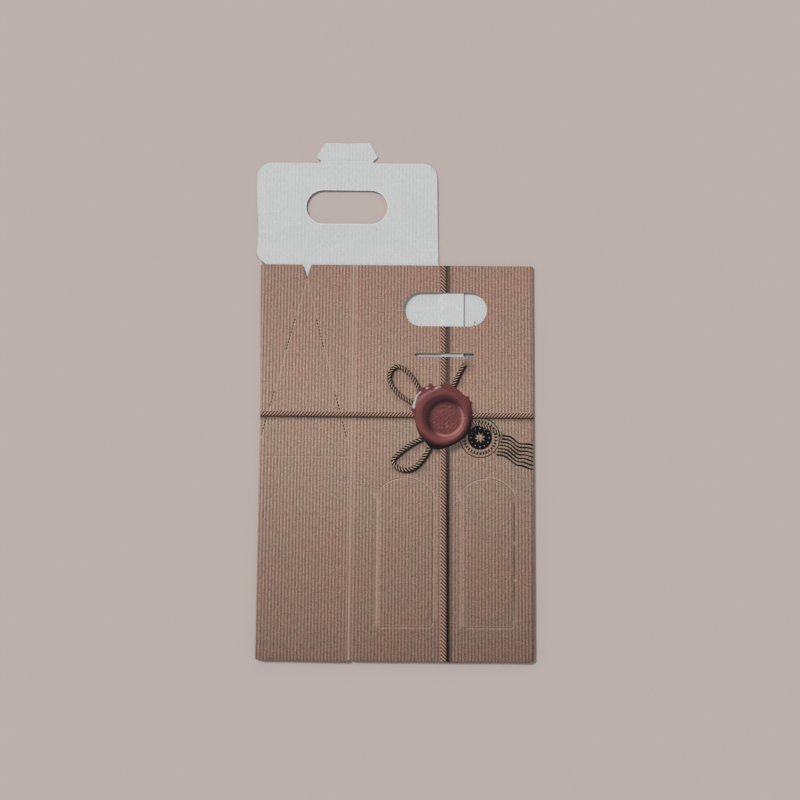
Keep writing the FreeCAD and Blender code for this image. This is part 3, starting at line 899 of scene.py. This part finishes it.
def seal_colour(P):
    """Shade of the printed wax by its modelled form: lumpy rim, hollow, plain pressed floor."""
    x, y = P[:, 0] - SEAL_C[0], P[:, 1] - SEAL_C[1]

    def height(x, y):
        ang = np.arctan2(y, x)
        r = np.hypot(x + 1.2, y - 0.6)
        edge = 28.5 + 1.2 * np.sin(3 * ang + 0.6) + 0.8 * np.sin(7 * ang + 2.0)
        h = 4.2 * np.sqrt(np.clip(1 - (np.clip(r - 24.0, 0, None) / (edge - 24.0 + 1.0)) ** 2, 0, 1))
        h = h * smooth((r - 17.0) / 6.0) + 0.9 * np.sin(5 * ang + 1.0) * np.exp(-((r - 24) / 3.0) ** 2) * 0.35
        r2 = np.hypot(x - 0.6, y + 0.8)
        h += -3.4 * (1 - smooth((r2 - 15.5) / 4.0))
        # pressed floor: fine uneven ripples
        wx = x + 1.3 * np.sin(0.47 * y + 0.4) + 0.6 * np.sin(1.31 * y + 2.1)
        wy = y + 1.1 * np.sin(0.53 * x + 1.7) + 0.5 * np.sin(1.17 * x + 0.3)
        rip = 0.34 * (1 - np.abs(np.sin(0.78 * wx + 0.31 * wy))) ** 2
        rip += 0.30 * (1 - np.abs(np.sin(0.69 * wy - 0.27 * wx + 0.9))) ** 2
        rip += 0.16 * np.sin(1.9 * wx - 0.7 * wy) * np.sin(1.3 * wy + 0.5 * wx)
        h += rip * (1 - smooth((r2 - 12.0) / 3.0))
        return h

    e = 0.35
    hx = (height(x + e, y) - height(x - e, y)) / (2 * e)
    hy = (height(x, y + e) - height(x, y - e)) / (2 * e)
    n = np.stack([-hx, -hy, np.full(len(P), 1.15)], 1)
    n /= np.linalg.norm(n, axis=1)[:, None]
    key = np.array([-0.52, 0.60, 0.61])
    fill = np.array([0.70, -0.45, 0.55])
    dif = np.clip(n @ key, 0, 1)
    fil = np.clip(n @ fill, 0, 1)
    half = np.array([-0.36, 0.40, 0.84])
    spec = np.clip(n @ (half / np.linalg.norm(half)), 0, 1) ** 26
    r2 = np.hypot(x - 0.6, y + 0.8)
    away_ = smooth(((-x * 1.1 + y) / np.maximum(np.hypot(x, y), 1) + 0.75) / 1.5)
    well = 1 - 0.84 * np.exp(-((r2 - 17.4) / 3.7) ** 2) * away_
    well = well * (1 - 0.14 * (1 - smooth((r2 - 15.0) / 3.0)))
    body = np.array(seen(126, 68, 66)[:3])
    deep = np.array(seen(34, 16, 18)[:3])
    pink = np.array(seen(216, 156, 148)[:3])
    k = np.clip(0.12 + 0.84 * dif + 0.16 * fil, 0, 1.15) * well
    col = deep + (body * 1.12 - deep) * k[:, None]
    # bright inner ring, lower right
    ring = np.exp(-((r2 - 17.0) / 0.85) ** 2) * smooth(((x * 0.75 - y * 0.66) / np.maximum(r2, 1) - 0.05) / 0.55)
    hi = np.clip(0.40 * spec + 0.55 * ring, 0, 1)
    col = col + (pink - col) * hi[:, None]
    # long highlight on the upper left rim and two small ones
    for path, w, k in (([(60.2, -141.0), (61.6, -134.6), (64.0, -129.0), (67.2, -125.6)], 1.25, 1.0),
                       ([(73.0, -122.2), (74.8, -121.7)], 0.9, 0.9),
                       ([(81.6, -122.4), (84.5, -121.0), (87.4, -120.7)], 0.75, 0.85),
                       ([(69.6, -129.4), (74.6, -125.8), (80.0, -124.9)], 0.9, 0.12)):
        S, D, dist = along(P, spline(path, 0.8))
        # each is widest where it begins and thins out along its length
        w = w * (1.0 - 0.62 * (S / max(S.max(), 1e-6)) ** 1.5 + 0.16 * np.sin(S * 1.7))
        g = np.exp(-(dist / w) ** 3) * k
        col = col + (np.array(seen(246, 226, 222)[:3]) - col) * g[:, None]
    # darker outer edge
    ang = np.arctan2(y, x)
    out = smooth((np.hypot(x + 2.5, y + 0.5) - 21.5) / 6.5) * (0.22 + 0.74 * smooth((x * 0.40 - y * 0.85 + 8) / 25.0))
    col = col * (1 - out[:, None])
    return col


def post_shapes():
    """Postmark outlines: rings, a ring of ticks, a star in the centre and wavy bars."""
    c = POST_C
    shapes, holes = [], []

    def circle(r, n=72):
        t = np.linspace(0, 2 * np.pi, n, endpoint=False)
        return np.stack([c[0] + r * np.cos(t), c[1] + r * np.sin(t)], 1)

    rings = [(circle(19.9), circle(19.0)), (circle(11.9, 56), None)]
    ticks = []
    for k in range(32):
        a0 = 2 * np.pi * k / 32 + 0.03
        r0, r1, w = 14.1, 17.0, 0.05
        q = [(c[0] + r * math.cos(a), c[1] + r * math.sin(a)) for r, a in
             ((r0, a0 - w), (r1, a0 - w), (r1, a0 + w), (r0, a0 + w))]
        ticks.append(q)
    star = []
    for k in range(16):
        r = 5.6 if k % 2 == 0 else 2.5
        a = 2 * np.pi * k / 16 + 0.2
        star.append((c[0] + r * math.cos(a), c[1] + r * math.sin(a)))
    dots = []
    for k in range(12):
        a = 2 * np.pi * k / 12
        cc = (c[0] + 9.0 * math.cos(a), c[1] + 9.0 * math.sin(a))
        dots.append([(cc[0] + 0.7 * math.cos(b), cc[1] + 0.7 * math.sin(b)) for b in np.linspace(0, 2 * np.pi, 8, endpoint=False)])
    waves = []
    for k in range(7):
        x0, y0 = 147.0 - 1.05 * k, -168.3 - 3.1 * k
        xs = np.linspace(x0, 177.4, 40)
        t = xs - x0
        ys = y0 - 0.9 * smooth(t / 9.0) - (7.0 + 0.4 * k) * smooth((t - 6.5) / (11.5 + 0.8 * k)) - (1.7 + 0.28 * k) * smooth((t - 24) / 11.0)
        half = 0.80 + 0.14 * np.sin(t * 0.3 + k)
        half[0] = half[-1] = 0.3
        waves.append(ribbon(np.stack([xs, ys], 1), half))
    return rings, ticks, star, dots, waves


RINGS, TICKS, STAR, DOTS, WAVES = post_shapes()
INK = np.array(seen(5, 4, 4)[:3])


# ---------------------------------------------------------------------------
# the tube's blank: cut outline, holes, slits
# ---------------------------------------------------------------------------
def line(a, b, step):
    n = max(1, int(math.ceil(math.dist(a, b) / step)))
    return [(a[0] + (b[0] - a[0]) * k / n, a[1] + (b[1] - a[1]) * k / n) for k in range(n)]


def polyline(points, step):
    out = []
    for a, b in zip(points, points[1:] + points[:1]):
        out += line(a, b, step)
    return out


nb = u_side(NOTCH_B)
yb = -PANEL_H
BF = 66.0 + 4.9
SF = 46.0 + 4.9
us = lambda x: u_side(x, -383.6)
ub = lambda x: u_back(x, -383.6)
outline = polyline([
    (UB, 0.0), (nb + NOTCH_W / 2, 0.0), (nb, -NOTCH_D), (nb - NOTCH_W / 2, 0.0),
    (NOTCH_A + NOTCH_W / 2, 0.0), (NOTCH_A + 0.15, -NOTCH_D), (NOTCH_A - 0.15, -NOTCH_D), (NOTCH_A - NOTCH_W / 2, 0.0),
    (UL + 0.2, 0.0), (UL, -1.2),
    (u_back(84.4), -1.2), (UG, -2.0), (UG - 6, -2.0), (UE, -10.5),
    (UE, yb + 14), (UG - 6, yb + 5), (UG, yb + 5), (UG + 0.6, yb + 0.4), (ub(83.4), yb),
    (ub(83.4), yb - 34), (ub(65), yb - BF), (ub(-55), yb - BF), (ub(-85), yb - 38), (ub(-85), yb - 1.5),
    (-85.0, yb - 1.5), (-85.0, yb - 6), (-42.0, yb - SF - 1), (-8.0, yb - SF - 1), (-1.4, yb - 6), (-1.2, yb - 0.9), (0.3, yb), (2.0, yb),
    (2.0, yb - 34), (20.0, yb - BF), (142.0, yb - BF), (172.0, yb - 38), (172.0, yb - 1.5),
    (us(172.2), yb - 1.5), (us(172.2), yb - 6), (us(129.2), yb - SF), (us(GLUE_END + 8), yb - SF), (us(GLUE_END + 2), yb - 17),
    (us(90.0), yb - 5), (us(90.0), yb), (UB, yb),
][::-1], 9.0)

holes = [
    stadium(*HOLE_FRONT, HOLE_W, HOLE_H, 18),
    stadium(*SLOT_AT, SLOT_W, SLOT_H, 8),
    stadium(u_back(HOLE_BACK[0], -43.9), HOLE_BACK[1], HOLE_W * 1.0, HOLE_H, 14),
]
slits = []
# doors: cut over the arch, right side and bottom, held by nicks
for k, (x0, x1) in enumerate(DOORS):
    pts = np.array(arch(x0, x1))
    s = np.r_[0, np.cumsum(np.linalg.norm(np.diff(pts, axis=0), axis=1))]
    fine = resample(pts, 2.2)
    cuts = []
    run = []
    for p in fine:
        nick = (abs(p[0] - x1) < 0.6 and (abs(p[1] + 272) < 1.3 or abs(p[1] + 307.5) < 1.3)) or \
               (abs(p[0] - (x0 + x1) / 2) < 1.4) or p[0] < x0 + (0.6 if p[1] > DOOR_SPRING - 3 else 3.2)
        if nick:
            if len(run) > 2:
                cuts.append(np.array(run))
            run = []
        else:
            run.append(p)
    if len(run) > 2:
        cuts.append(np.array(run))
    for c in cuts:
        wide = np.full(len(c), 0.16)
        if k == 1:
            right = np.abs(c[:, 0] - x1) < 0.5
            wide = np.where(right & (c[:, 1] < -228) & (c[:, 1] > -345), 0.27 - 0.05 * ((c[:, 1] + 290) / 60) ** 2, wide)
        wide[0] = wide[-1] = 0.03
        slits.append(ribbon(c, wide))


def dashes(p, q, parts, pitch=3.3, cut=2.35):
    """Perforations from p to q over the given shares of the line."""
    p, q = np.array(p), np.array(q)
    length = np.linalg.norm(q - p)
    d = (q - p) / length
    out = []
    for a, b in parts:
        s = a * length
        while s + cut < b * length:
            out.append(lens(p + d * s, p + d * (s + cut), 0.55))
            s += pitch
    return out


APEX = (NOTCH_A, -NOTCH_D - 1.0)
for sgn, parts in ((-1, ((0.225, 0.455), (0.70, 0.80), (0.865, 0.995))), (1, ((0.25, 0.435), (0.72, 0.815), (0.885, 0.995)))):
    slits += dashes(APEX, (NOTCH_A + sgn * GUSSET_HALF, GUSSET_Y), parts)
    slits += dashes((nb, APEX[1]), (nb + sgn * GUSSET_HALF, GUSSET_Y), parts)
loops = [outline] + holes + slits


# ---- relief of the pressed lines ---------------------------------------------
def seg_dist(u, v, a, b):
    a, b = np.array(a, float), np.array(b, float)
    d = b - a
    t = np.clip(((u - a[0]) * d[0] + (v - a[1]) * d[1]) / (d @ d), 0, 1)
    return np.hypot(u - a[0] - t * d[0], v - a[1] - t * d[1])


def pressed(u, v):
    """Depth of the pressed lines in the printed face, mm."""
    d = np.zeros(len(u))
    d += 0.34 * np.exp(-(u / 0.85) ** 2) * (v > yb - 1)
    d -= 0.07 * np.exp(-((np.abs(u) - 2.4) / 1.1) ** 2)
    for sgn in (-1, 1):
        s = seg_dist(u, v, APEX, (NOTCH_A + sgn * GUSSET_HALF, GUSSET_Y))
        d += 0.13 * np.exp(-(s / 0.75) ** 2)
        s = seg_dist(u, v, (nb, APEX[1]), (nb + sgn * GUSSET_HALF, GUSSET_Y))
        d += 0.13 * np.exp(-(s / 0.75) ** 2)
    s = seg_dist(u, v, (-91, CROSS_Y), (-1.5, CROSS_Y))
    d += 0.16 * np.exp(-(s / 0.9) ** 2)
    for k, (x0, x1) in enumerate(DOORS):
        s = seg_dist(u, v, (x0 + 1.8, DOOR_SPRING - 3), (x0 + 1.8, DOOR_BOTTOM + 3))
        d += (0.36 if k == 0 else 0.24) * np.exp(-(s / 2.1) ** 2)
        near = np.nonzero((u > x0 - 4) & (u < x1 + 4) & (v < DOOR_TOP + 4) & (v > DOOR_BOTTOM - 4))[0]
        if len(near):
            path = np.array(arch(x0, x1))
            S, D, dist = along(np.stack([u[near], v[near]], 1), path)
            d[near] += 0.20 * np.exp(-(dist / 0.95) ** 2) * np.where(u[near] < x0 + 3.0, 0.3, 1.0)
    return d


def ribs(u, v):
    return (0.028 + 0.010 * np.sin(v * 0.16 + u * 0.05)) * np.cos(2 * np.pi * u / FLUTE)


# ---- points and lines of the printed face ---------------------------------------
outer = Plane()
outer.line(outline, True)
for h in holes + slits:
    outer.line(h, True)
grid = [(a, b) for a in np.arange(-292, 268, 9.0) for b in np.arange(-378, -3, 9.6)]
# folds: columns follow the round
for side in (0, 1):
    for k in range(0, 11):
        col = []
        for v in np.linspace(-0.15, yb + 0.3, 40):
            r = float(thick(np.array(v))) / 2
            if side:
                e0, e1 = FRONT_W - r, UR
            else:
                e0, e1 = float(left_edge(np.array(v))) + r, UL
            col.append((e0 + (e1 - e0) * k / 10.0, v))
        outer.line(col)
# step of the glue flap
for s in (0.0, 0.7, 1.4, 2.1, 2.8, 3.5, 4.4):
    outer.line([(UG - s, v) for v in np.linspace(-2.2, yb + 5.3, 20)])
# bottom creases: rows round the bend
for a, b in ((-84.9, -1.5), (2.1, 171.9), (us(172.1), us(90.1)), (ub(-84.9), ub(83.3))):
    a, b = min(a, b), max(a, b)
    for k in range(0, 9):
        outer.line([(x, yb - 0.02 - 4.95 * k / 8 - (0.6 if -86 < x < 0 else 0)) for x in np.linspace(a, b, 16)])
# pressed lines
for s in (-4.2, -3.0, -2.5, -2.0, -1.4, -0.9, -0.5, 0.0, 0.5, 0.9, 1.5, 2.3, 3.1, 3.9):
    outer.line([(s, v) for v in np.linspace(-0.1, yb + 0.4, 30)])
for cx, lo in ((NOTCH_A, True), (nb, True)):
    for sgn in (-1, 1):
        q = np.array([cx + sgn * GUSSET_HALF, GUSSET_Y])
        p = np.array([cx, APEX[1]])
        d = (q - p) / np.linalg.norm(q - p)
        nrm = np.array([-d[1], d[0]])
        for s in (-1.6, -1.1, -0.7, 0.7, 1.1, 1.6):
            outer.line([tuple(p + nrm * s + d * t) for t in np.linspace(2, np.linalg.norm(q - p), 36)])
for s in (-2.0, -1.5, -0.9, -0.4, 0.0, 0.4, 1.2, 2.0):
    outer.line([(x, CROSS_Y + s) for x in np.linspace(-86, -4.2, 12)])
for x0, x1 in DOORS:
    for s in (-4.6, -3.2, -1.9, -0.9, 0.0, 0.9, 1.9, 3.2, 4.6):
        outer.line([(x0 + 1.8 + s, v) for v in np.linspace(DOOR_SPRING - 1, DOOR_BOTTOM + 1, 18)])
    for s in (-3.4, -2.9, -2.4, -1.3, -0.8, -0.4, 0.4, 0.8, 1.3, 2.2):
        path = resample(np.array(arch(x0, x1, s)), 3.0)
        path = [tuple(q) for q in path if q[0] > x0 + 6.6]
        if path:
            outer.line(path)
# print: vertical and horizontal twine on the front, and carried round to the back
fine_v = [(TV_X - 0.0046 * v, v) for v in np.linspace(-0.1, -389.5, 62)]
for s in (-TV_HALF, 0.0, TV_HALF, TV_HALF + 1.3, TV_HALF + 2.6, TV_HALF + 4.2, TV_HALF + 6.8):
    outer.line([(x + s, y) for x, y in fine_v])
for s in (TH_HALF, 0.0, -TH_HALF, -TH_HALF - 0.6, -TH_HALF - 1.6, -TH_HALF - 3.2, -TH_HALF - 6.0):
    outer.line([(x, TH_Y + s) for x in np.linspace(UE + 0.1, UB - 0.1, 110)])
UBK = u_back(-4.0, -190)
for s in (-TV_HALF, TV_HALF):
    outer.line([(UBK + s, v) for v in np.linspace(-1.3, -383.5, 40)])
for y, x in ((-272.0, DOORS[1][1]), (-307.5, DOORS[1][1])):
    outer.dots([(x + a, y + b) for a in (-1.0, -0.5, 0.0, 0.5, 1.0) for b in (-1.2, -0.6, 0.0, 0.6, 1.2)])
for path, half in zip(BOWS, BOW_HALF):
    band = ribbon(path, half)
    outer.line(band, True)
    outer.line([tuple(q) for q in path])
    off = np.array([1.5, -1.3])
    for hh in (half * 0.8, half + 0.9):
        outer.line([tuple(np.array(q) + off) for q in ribbon(path, hh)], True)
outer.line([tuple(q) for q in SEAL], True)
fine_seal = [(x + (0.36 if j % 2 else 0), y) for j, y in enumerate(np.arange(-183, -116, 0.62)) for x in np.arange(56, 120, 0.72)]
outer.dots(away(fine_seal, [SEAL], 0.3))
for r in (29.0, 31.5, 33.5, 35.5):
    t = np.linspace(-2.2, 0.6, 40)
    outer.line([(SEAL_C[0] - 1.5 + r * math.cos(a), SEAL_C[1] - 1.6 + r * math.sin(a)) for a in t])
for a, b in RINGS:
    outer.line([tuple(q) for q in a], True)
    if b is not None:
        outer.line([tuple(q) for q in b], True)
for q in TICKS + [STAR] + DOTS + WAVES:
    outer.line([tuple(p) for p in q], True)
keep = away(np.array(grid), [outline] + holes + slits, 1.5)
outer.dots(keep)


def paint(V, F):
    """Corner colours and twine coordinates of the printed face."""
    corners = V[F]                       # n, 3, 2
    cen = corners.mean(1)
    n = len(F)
    ink_and_painted_light = np.zeros((n, 3, 4), np.float32)
    tw = np.zeros((n, 3, 3), np.float32)
    flatP = corners.reshape(-1, 2)
    total = np.zeros(len(flatP))
    mixed = np.zeros((len(flatP), 3))
    # pale wear and painted highlight, painted crease shade, then printed shadow, laid over each other
    for share, colour in ((wear_and_highlight(flatP), PALE_WEAR_AND_HIGHLIGHT), (crease_shade(flatP), CREASE_SHADE), (shadow(flatP), SHADOW)):
        mixed = mixed * (1 - share)[:, None] + colour * share[:, None]
        total = total * (1 - share) + share
    ink_and_painted_light[..., :3] = (mixed / np.maximum(total, 1e-4)[:, None]).reshape(n, 3, 3)
    ink_and_painted_light[..., 3] = total.reshape(n, 3)
    u, v = cen[:, 0], cen[:, 1]

    # vertical and horizontal twine; the horizontal one runs over the vertical
    def set_tw(m, S, Tt, pitch, lean, kind):
        tw[m, :, 0] = S[m] / pitch + lean * Tt[m]
        tw[m, :, 1] = Tt[m]
        tw[m, :, 2] = kind
        ink_and_painted_light[m, :, 3] = 0
    cu, cv = corners[..., 0], corners[..., 1]
    m = np.abs(u - (TV_X - 0.0046 * v)) < TV_HALF
    set_tw(m, cv + 0 * cu, (cu - (TV_X - 0.0046 * cv)) / TV_HALF, 3.40, 0.82, 1.0)
    m = np.abs(u - UBK) < TV_HALF
    set_tw(m, cv, (cu - UBK) / TV_HALF, 3.40, 0.82, 1.0)
    m = (np.abs(v - TH_Y) < TH_HALF)
    set_tw(m, cu, -(cv - TH_Y) / TH_HALF, 3.24, 0.66, 1.0)
    # postmark
    def flat_ink(m, alpha=1.0):
        ink_and_painted_light[m, :, :3] = INK
        ink_and_painted_light[m, :, 3] = alpha
    box = np.nonzero((u > 100) & (u < 180) & (v < -145) & (v > -210))[0]
    c = cen[box]
    hit = np.zeros(len(c), bool)
    hit |= inside(c, [RINGS[0][0], RINGS[0][1]])
    disc = inside(c, [RINGS[1][0]])
    light = inside(c, [STAR])
    for q in DOTS:
        light |= inside(c, [q])
    hit |= disc & ~light
    for q in TICKS:
        hit |= inside(c, [q])
    for q in WAVES:
        hit |= inside(c, [q])
    sel = np.zeros(n, bool)
    sel[box[hit]] = True
    sel &= tw[:, 0, 2] == 0
    flat_ink(sel)
    # bow
    for path, half, pitch in zip(BOWS, BOW_HALF, BOW_PITCH):
        near = np.nonzero((np.abs(u - path[:, 0].mean()) < 45) & (np.abs(v - path[:, 1].mean()) < 45))[0]
        S, D, dist = along(cen[near], path)
        s_end = np.linalg.norm(np.diff(path, axis=0), axis=1).sum()
        k = near[(dist < half * 0.999) & (S > 0.02) & (S < s_end - 0.02)]
        if not len(k):
            continue
        S, D, dist = along(corners[k].reshape(-1, 2), path)
        side = np.clip(D / half, -1, 1)
        # which side of the rope looks away from the light
        d = np.gradient(path, axis=0)
        sl_ = np.r_[0, np.cumsum(np.linalg.norm(np.diff(path, axis=0), axis=1))]
        dx, dy = np.interp(S, sl_, d[:, 0]), np.interp(S, sl_, d[:, 1])
        away_ = (-dy * 0.7 + dx * -0.7) / np.maximum(np.hypot(dx, dy), 1e-6)
        tw[k, :, 0] = (S / pitch + 0.52 * side).reshape(-1, 3)
        tw[k, :, 1] = (side * away_).reshape(-1, 3)
        tw[k, :, 2] = (2.0 + 0.4 * np.abs(side)).reshape(-1, 3)
        ink_and_painted_light[k, :, 3] = 0
    # seal over everything
    near = np.nonzero((np.abs(u - 88) < 36) & (np.abs(v + 150) < 36))[0]
    k = near[inside(cen[near], [SEAL])]
    ink_and_painted_light[k, :, :3] = seal_colour(corners[k].reshape(-1, 2)).reshape(-1, 3, 3)
    ink_and_painted_light[k, :, 3] = 1.0
    tw[k] = 0
    return ink_and_painted_light.reshape(-1, 4), tw.reshape(-1, 3)


# white face of the tube: fine columns where it shows through the hand hole and slot
cols = [(a, b) for a in np.arange(UE + 0.3, u_back(40), FLUTE / 8) for b in (-20, -32, -44, -56, -68, -84, -94, -104)]
cols += [(a, b) for a in np.arange(u_side(142), UB - 0.3, FLUTE / 8) for b in (-20, -32, -44, -56, -68, -84, -94, -104)]
coarse = [(a, b) for a in np.arange(-292, 268, 9.0) for b in np.arange(-374, -3, 12.0)]
nose = []
for side in (0, 1):
    for v in np.linspace(-3, yb + 3, 36):
        r = float(thick(np.array(v))) / 2
        e0, e1 = (FRONT_W - r, UR) if side else (float(left_edge(np.array(v))) + r, UL)
        nose += [(e0 + (e1 - e0) * k / 8.0, v) for k in range(9)]
for v in np.linspace(-6, yb + 16, 30):
    nose += [(UG - s, v) for s in (0.0, 0.8, 1.6, 2.4, 3.2, 4.4)]
for a, b in ((-84.9, -1.5), (2.1, 171.9), (us(172.1), us(90.1)), (ub(-84.9), ub(83.3))):
    a, b = min(a, b), max(a, b)
    nose += [(x, yb - 4.95 * k / 6) for x in np.linspace(a + 1, b - 1, 24) for k in range(7)]
inner_dots = np.array(cols + coarse + nose)


def tube_ribs(u, v):
    near = smooth((v + 125) / 15.0) * smooth((-8 - v) / 8.0)
    return ribs(u, v) * near


shell = build("carton_shell", fold, outer, loops, inner_dots, pressed, tube_ribs, SHEET, paint)
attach(shell, "carton")
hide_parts("carton_body")


# ---------------------------------------------------------------------------
# the closing flap: crease strips, spine, flap, tab (u = -X)
# ---------------------------------------------------------------------------
def mirror(points):
    return [(-x, y) for x, y in points]


def sheet(name, points, cuts=(), step=8.0, rows=(), relief=None, paint_=None):
    loop = polyline(mirror(points), step)
    hs = [mirror(c) for c in cuts]
    p = Plane()
    p.line(loop, True)
    for h in hs:
        p.line(h, True)
    x0, x1 = min(q[0] for q in points), max(q[0] for q in points)
    y0, y1 = min(q[1] for q in points), max(q[1] for q in points)
    gx = np.arange(-x1, -x0, 8.0)
    gy = rows if len(rows) else np.arange(y0 + 4, y1, 8.0)
    if relief is None:
        p.dots(away(np.array([(a, b) for a in gx for b in gy]), [loop] + hs, 0.8))
    else:               # a crease strip: rows all across, so that it bends evenly
        for b in gy:
            xs = [q[0] for q, r in zip(loop, loop[1:] + loop[:1]) if (q[1] - b) * (r[1] - b) <= 0] or [-x1, -x0]
            ends = sorted([min(xs), max(xs)])
            p.line([(a, b) for a in np.linspace(ends[0] + 0.25, ends[1] - 0.25, int((ends[1] - ends[0]) / 1.8))])
    cc = np.array([(a, b) for a in np.arange(math.ceil(-x1 * 8 / FLUTE) * FLUTE / 8, -x0, FLUTE / 8) for b in gy])
    return build(name, flat, p, [loop] + hs, cc, lambda u, v: 0.0 * u, relief or ribs, SHEET, paint_)


fl, fr = FLAP_X - FLAP_W / 2, FLAP_X + FLAP_W / 2
sl, sr = -92.2 + 2.4, 85.0 - 0.6
tx = FLAP_X - 0.3
tb, tw_, te = TAB_BASE / 2, TAB_WING / 2, TAB_END / 2
HALF = 1.6                # half width of a crease strip


def crease_relief(yc, depth=0.22):
    def f(u, v):
        return ribs(u, v) * (1 - np.exp(-((v - yc) / 1.2) ** 2)) - depth * np.exp(-((v - yc) / 0.55) ** 2)
    return f


def rows_of(yc):
    return yc + np.array([-1.3, -1.0, -0.75, -0.5, -0.25, 0.0, 0.25, 0.5, 0.75, 1.0, 1.3])


y1a, y1b = CREASE_1 - HALF, CREASE_1 + HALF
def flx(y):
    """The flap's left edge, which isn't quite straight."""
    return fl + float(np.interp(y, [7, 15, 30, 48, 60, 72, 84], [1.5, 1.6, 2.3, 2.0, 0.9, 0.2, 0.0]))


def frx(y):
    """Its right edge, which leans in slightly towards the flap's end."""
    return fr + float(np.interp(y, [8, 30, 60, 88], [1.6, 1.0, 0.45, 0.0]))


crease_one = sheet("crease_panel_spine", [(sl, y1a), (sr, y1a), (sr, CREASE_1), (sr - 0.2, y1b), (sl - 1.6, y1b), (sl, CREASE_1)],
                   rows=rows_of(CREASE_1), relief=crease_relief(CREASE_1, 0.12))
y2a, y2b = CREASE_2 - HALF, CREASE_2 + HALF
spine = sheet("spine_strip", [(sl - 1.6, y1b), (sr - 0.2, y1b), (sr - 0.4, y1b + 1.4), (frx(y2a), y2a), (flx(y2a), y2a), (flx(7), 7.0)],
              rows=(3.2, 5.0, 7.0, 9.0, 10.6))
crease_two = sheet("crease_spine_flap", [(flx(y2a), y2a), (frx(y2a), y2a), (frx(CREASE_2), CREASE_2), (frx(y2b), y2b), (flx(y2b), y2b)],
                   rows=rows_of(CREASE_2), relief=crease_relief(CREASE_2, 0.07))
y3a, y3b = TAB_ROOT - HALF, TAB_ROOT + HALF


def corner(cx, cy, r, a0, a1, n=9):
    return [(cx + r * math.cos(math.radians(a)), cy + r * math.sin(math.radians(a))) for a in np.linspace(a0, a1, n)]


flap_points = [(flx(y2b), y2b), (frx(y2b), y2b), (frx(30), 30.0), (frx(60), 60.0)] + corner(fr - FLAP_R, FLAP_TOP - FLAP_R, FLAP_R, 0, 90) + \
    [(tx + tb + 0.2, FLAP_TOP), (tx + tb, FLAP_TOP + 0.4), (tx + tb, y3a), (tx - tb, y3a), (tx - tb, FLAP_TOP + 0.4), (tx - tb - 0.2, FLAP_TOP)] + \
    corner(fl + FLAP_R, FLAP_TOP - FLAP_R, FLAP_R, 90, 180) + [(flx(y), y) for y in (84, 78, 72, 66, 60, 54, 48, 42, 36, 30, 24)]
handle = sheet("handle_sheet", flap_points, [stadium(*HOLE_FLAP, HOLE_FLAP_W, HOLE_H, 18)],
               rows=np.arange(17.5, 104, 6.0))
crease_three = sheet("crease_flap_tab", [(tx - tb, y3a), (tx + tb, y3a), (tx + tb, TAB_ROOT), (tx + tb + 1.9, y3b), (tx - tb - 1.9, y3b), (tx - tb, TAB_ROOT)],
                     rows=rows_of(TAB_ROOT), relief=crease_relief(TAB_ROOT, 0.16))
tab = sheet("lock_tab_sheet", [(tx - tb - 1.9, y3b), (tx + tb + 1.9, y3b), (tx + tw_, TAB_WING_Y), (tx + te + 0.5, TAB_END_Y - 1.6),
                               (tx + te - 1.8, TAB_END_Y - 0.1), (tx + te - 12, TAB_END_Y), (tx, TAB_END_Y - 0.6), (tx - te + 12, TAB_END_Y),
                               (tx - te + 1.8, TAB_END_Y - 0.1), (tx - te - 0.5, TAB_END_Y - 1.6), (tx - tw_, TAB_WING_Y)],
            rows=np.arange(109.5, 125, 3.0))


def m(x, y, z):
    return ((x + SX) / 1000.0, (y + SY) / 1000.0, z / 1000.0)


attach(spine, "spine")
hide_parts("flap_spine")
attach(handle, "flap")
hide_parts("handle_flap")
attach(tab, "tab")
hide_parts("lock_tab")
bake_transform(crease_one)
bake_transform(crease_two)
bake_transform(crease_three)

# ---------------------------------------------------------------------------
# floor, light, camera
# ---------------------------------------------------------------------------
fm = Nodes("studio_floor")
fm.finish(seen(187, 176, 172), 0.9, 0.0)
me = bpy.data.meshes.new("floor")
s = 4.0
me.from_pydata([(-s, -s, -0.0001), (s, -s, -0.0001), (s, s, -0.0001), (-s, s, -0.0001)], [], [(0, 1, 2, 3)])
me.materials.append(fm.mat)
floor = bpy.data.objects.new("floor", me)
bpy.context.scene.collection.objects.link(floor)

scene = bpy.context.scene
scene.view_settings.view_transform = "Standard"
scene.view_settings.look = "None"
scene.view_settings.exposure = 0.0
scene.view_settings.gamma = 1.0
world = bpy.data.worlds.new("studio")
scene.world = world
world.use_nodes = True
bg = world.node_tree.nodes["Background"]
bg.inputs[0].default_value = (1.0, 1.0, 1.0, 1.0)
bg.inputs[1].default_value = 0.31

# a broad even light from the upper left
key = bpy.data.lights.new("key", "SUN")
key.angle = math.radians(11)
key.energy = 1.49
key_ob = bpy.data.objects.new("key", key)
key_ob.location = (-0.8, 0.8, 2.0)
key_ob.rotation_mode = "QUATERNION"
key_ob.rotation_quaternion = Vector((0.52, -0.42, -1.0)).to_track_quat("-Z", "Y")
scene.collection.objects.link(key_ob)

cam_data = bpy.data.cameras.new("camera")
cam = bpy.data.objects.new("camera", cam_data)
scene.collection.objects.link(cam)
cam_data.sensor_fit = "HORIZONTAL"
cam_data.sensor_width = 36.0
cam_data.lens = 36.0 * 1000.0 / 800.0
cam_data.clip_start, cam_data.clip_end = 0.01, 20.0
C = (47.681 + SX, -219.952 + SY, 980.891)
tilt, roll = 0.087787, 0.008770
cam.matrix_world = Matrix.Translation([c * 0.001 for c in C]) @ Matrix.Rotation(roll, 4, "Z") @ Matrix.Rotation(tilt, 4, "X")
scene.camera = cam

bpy.context.view_layer.update()
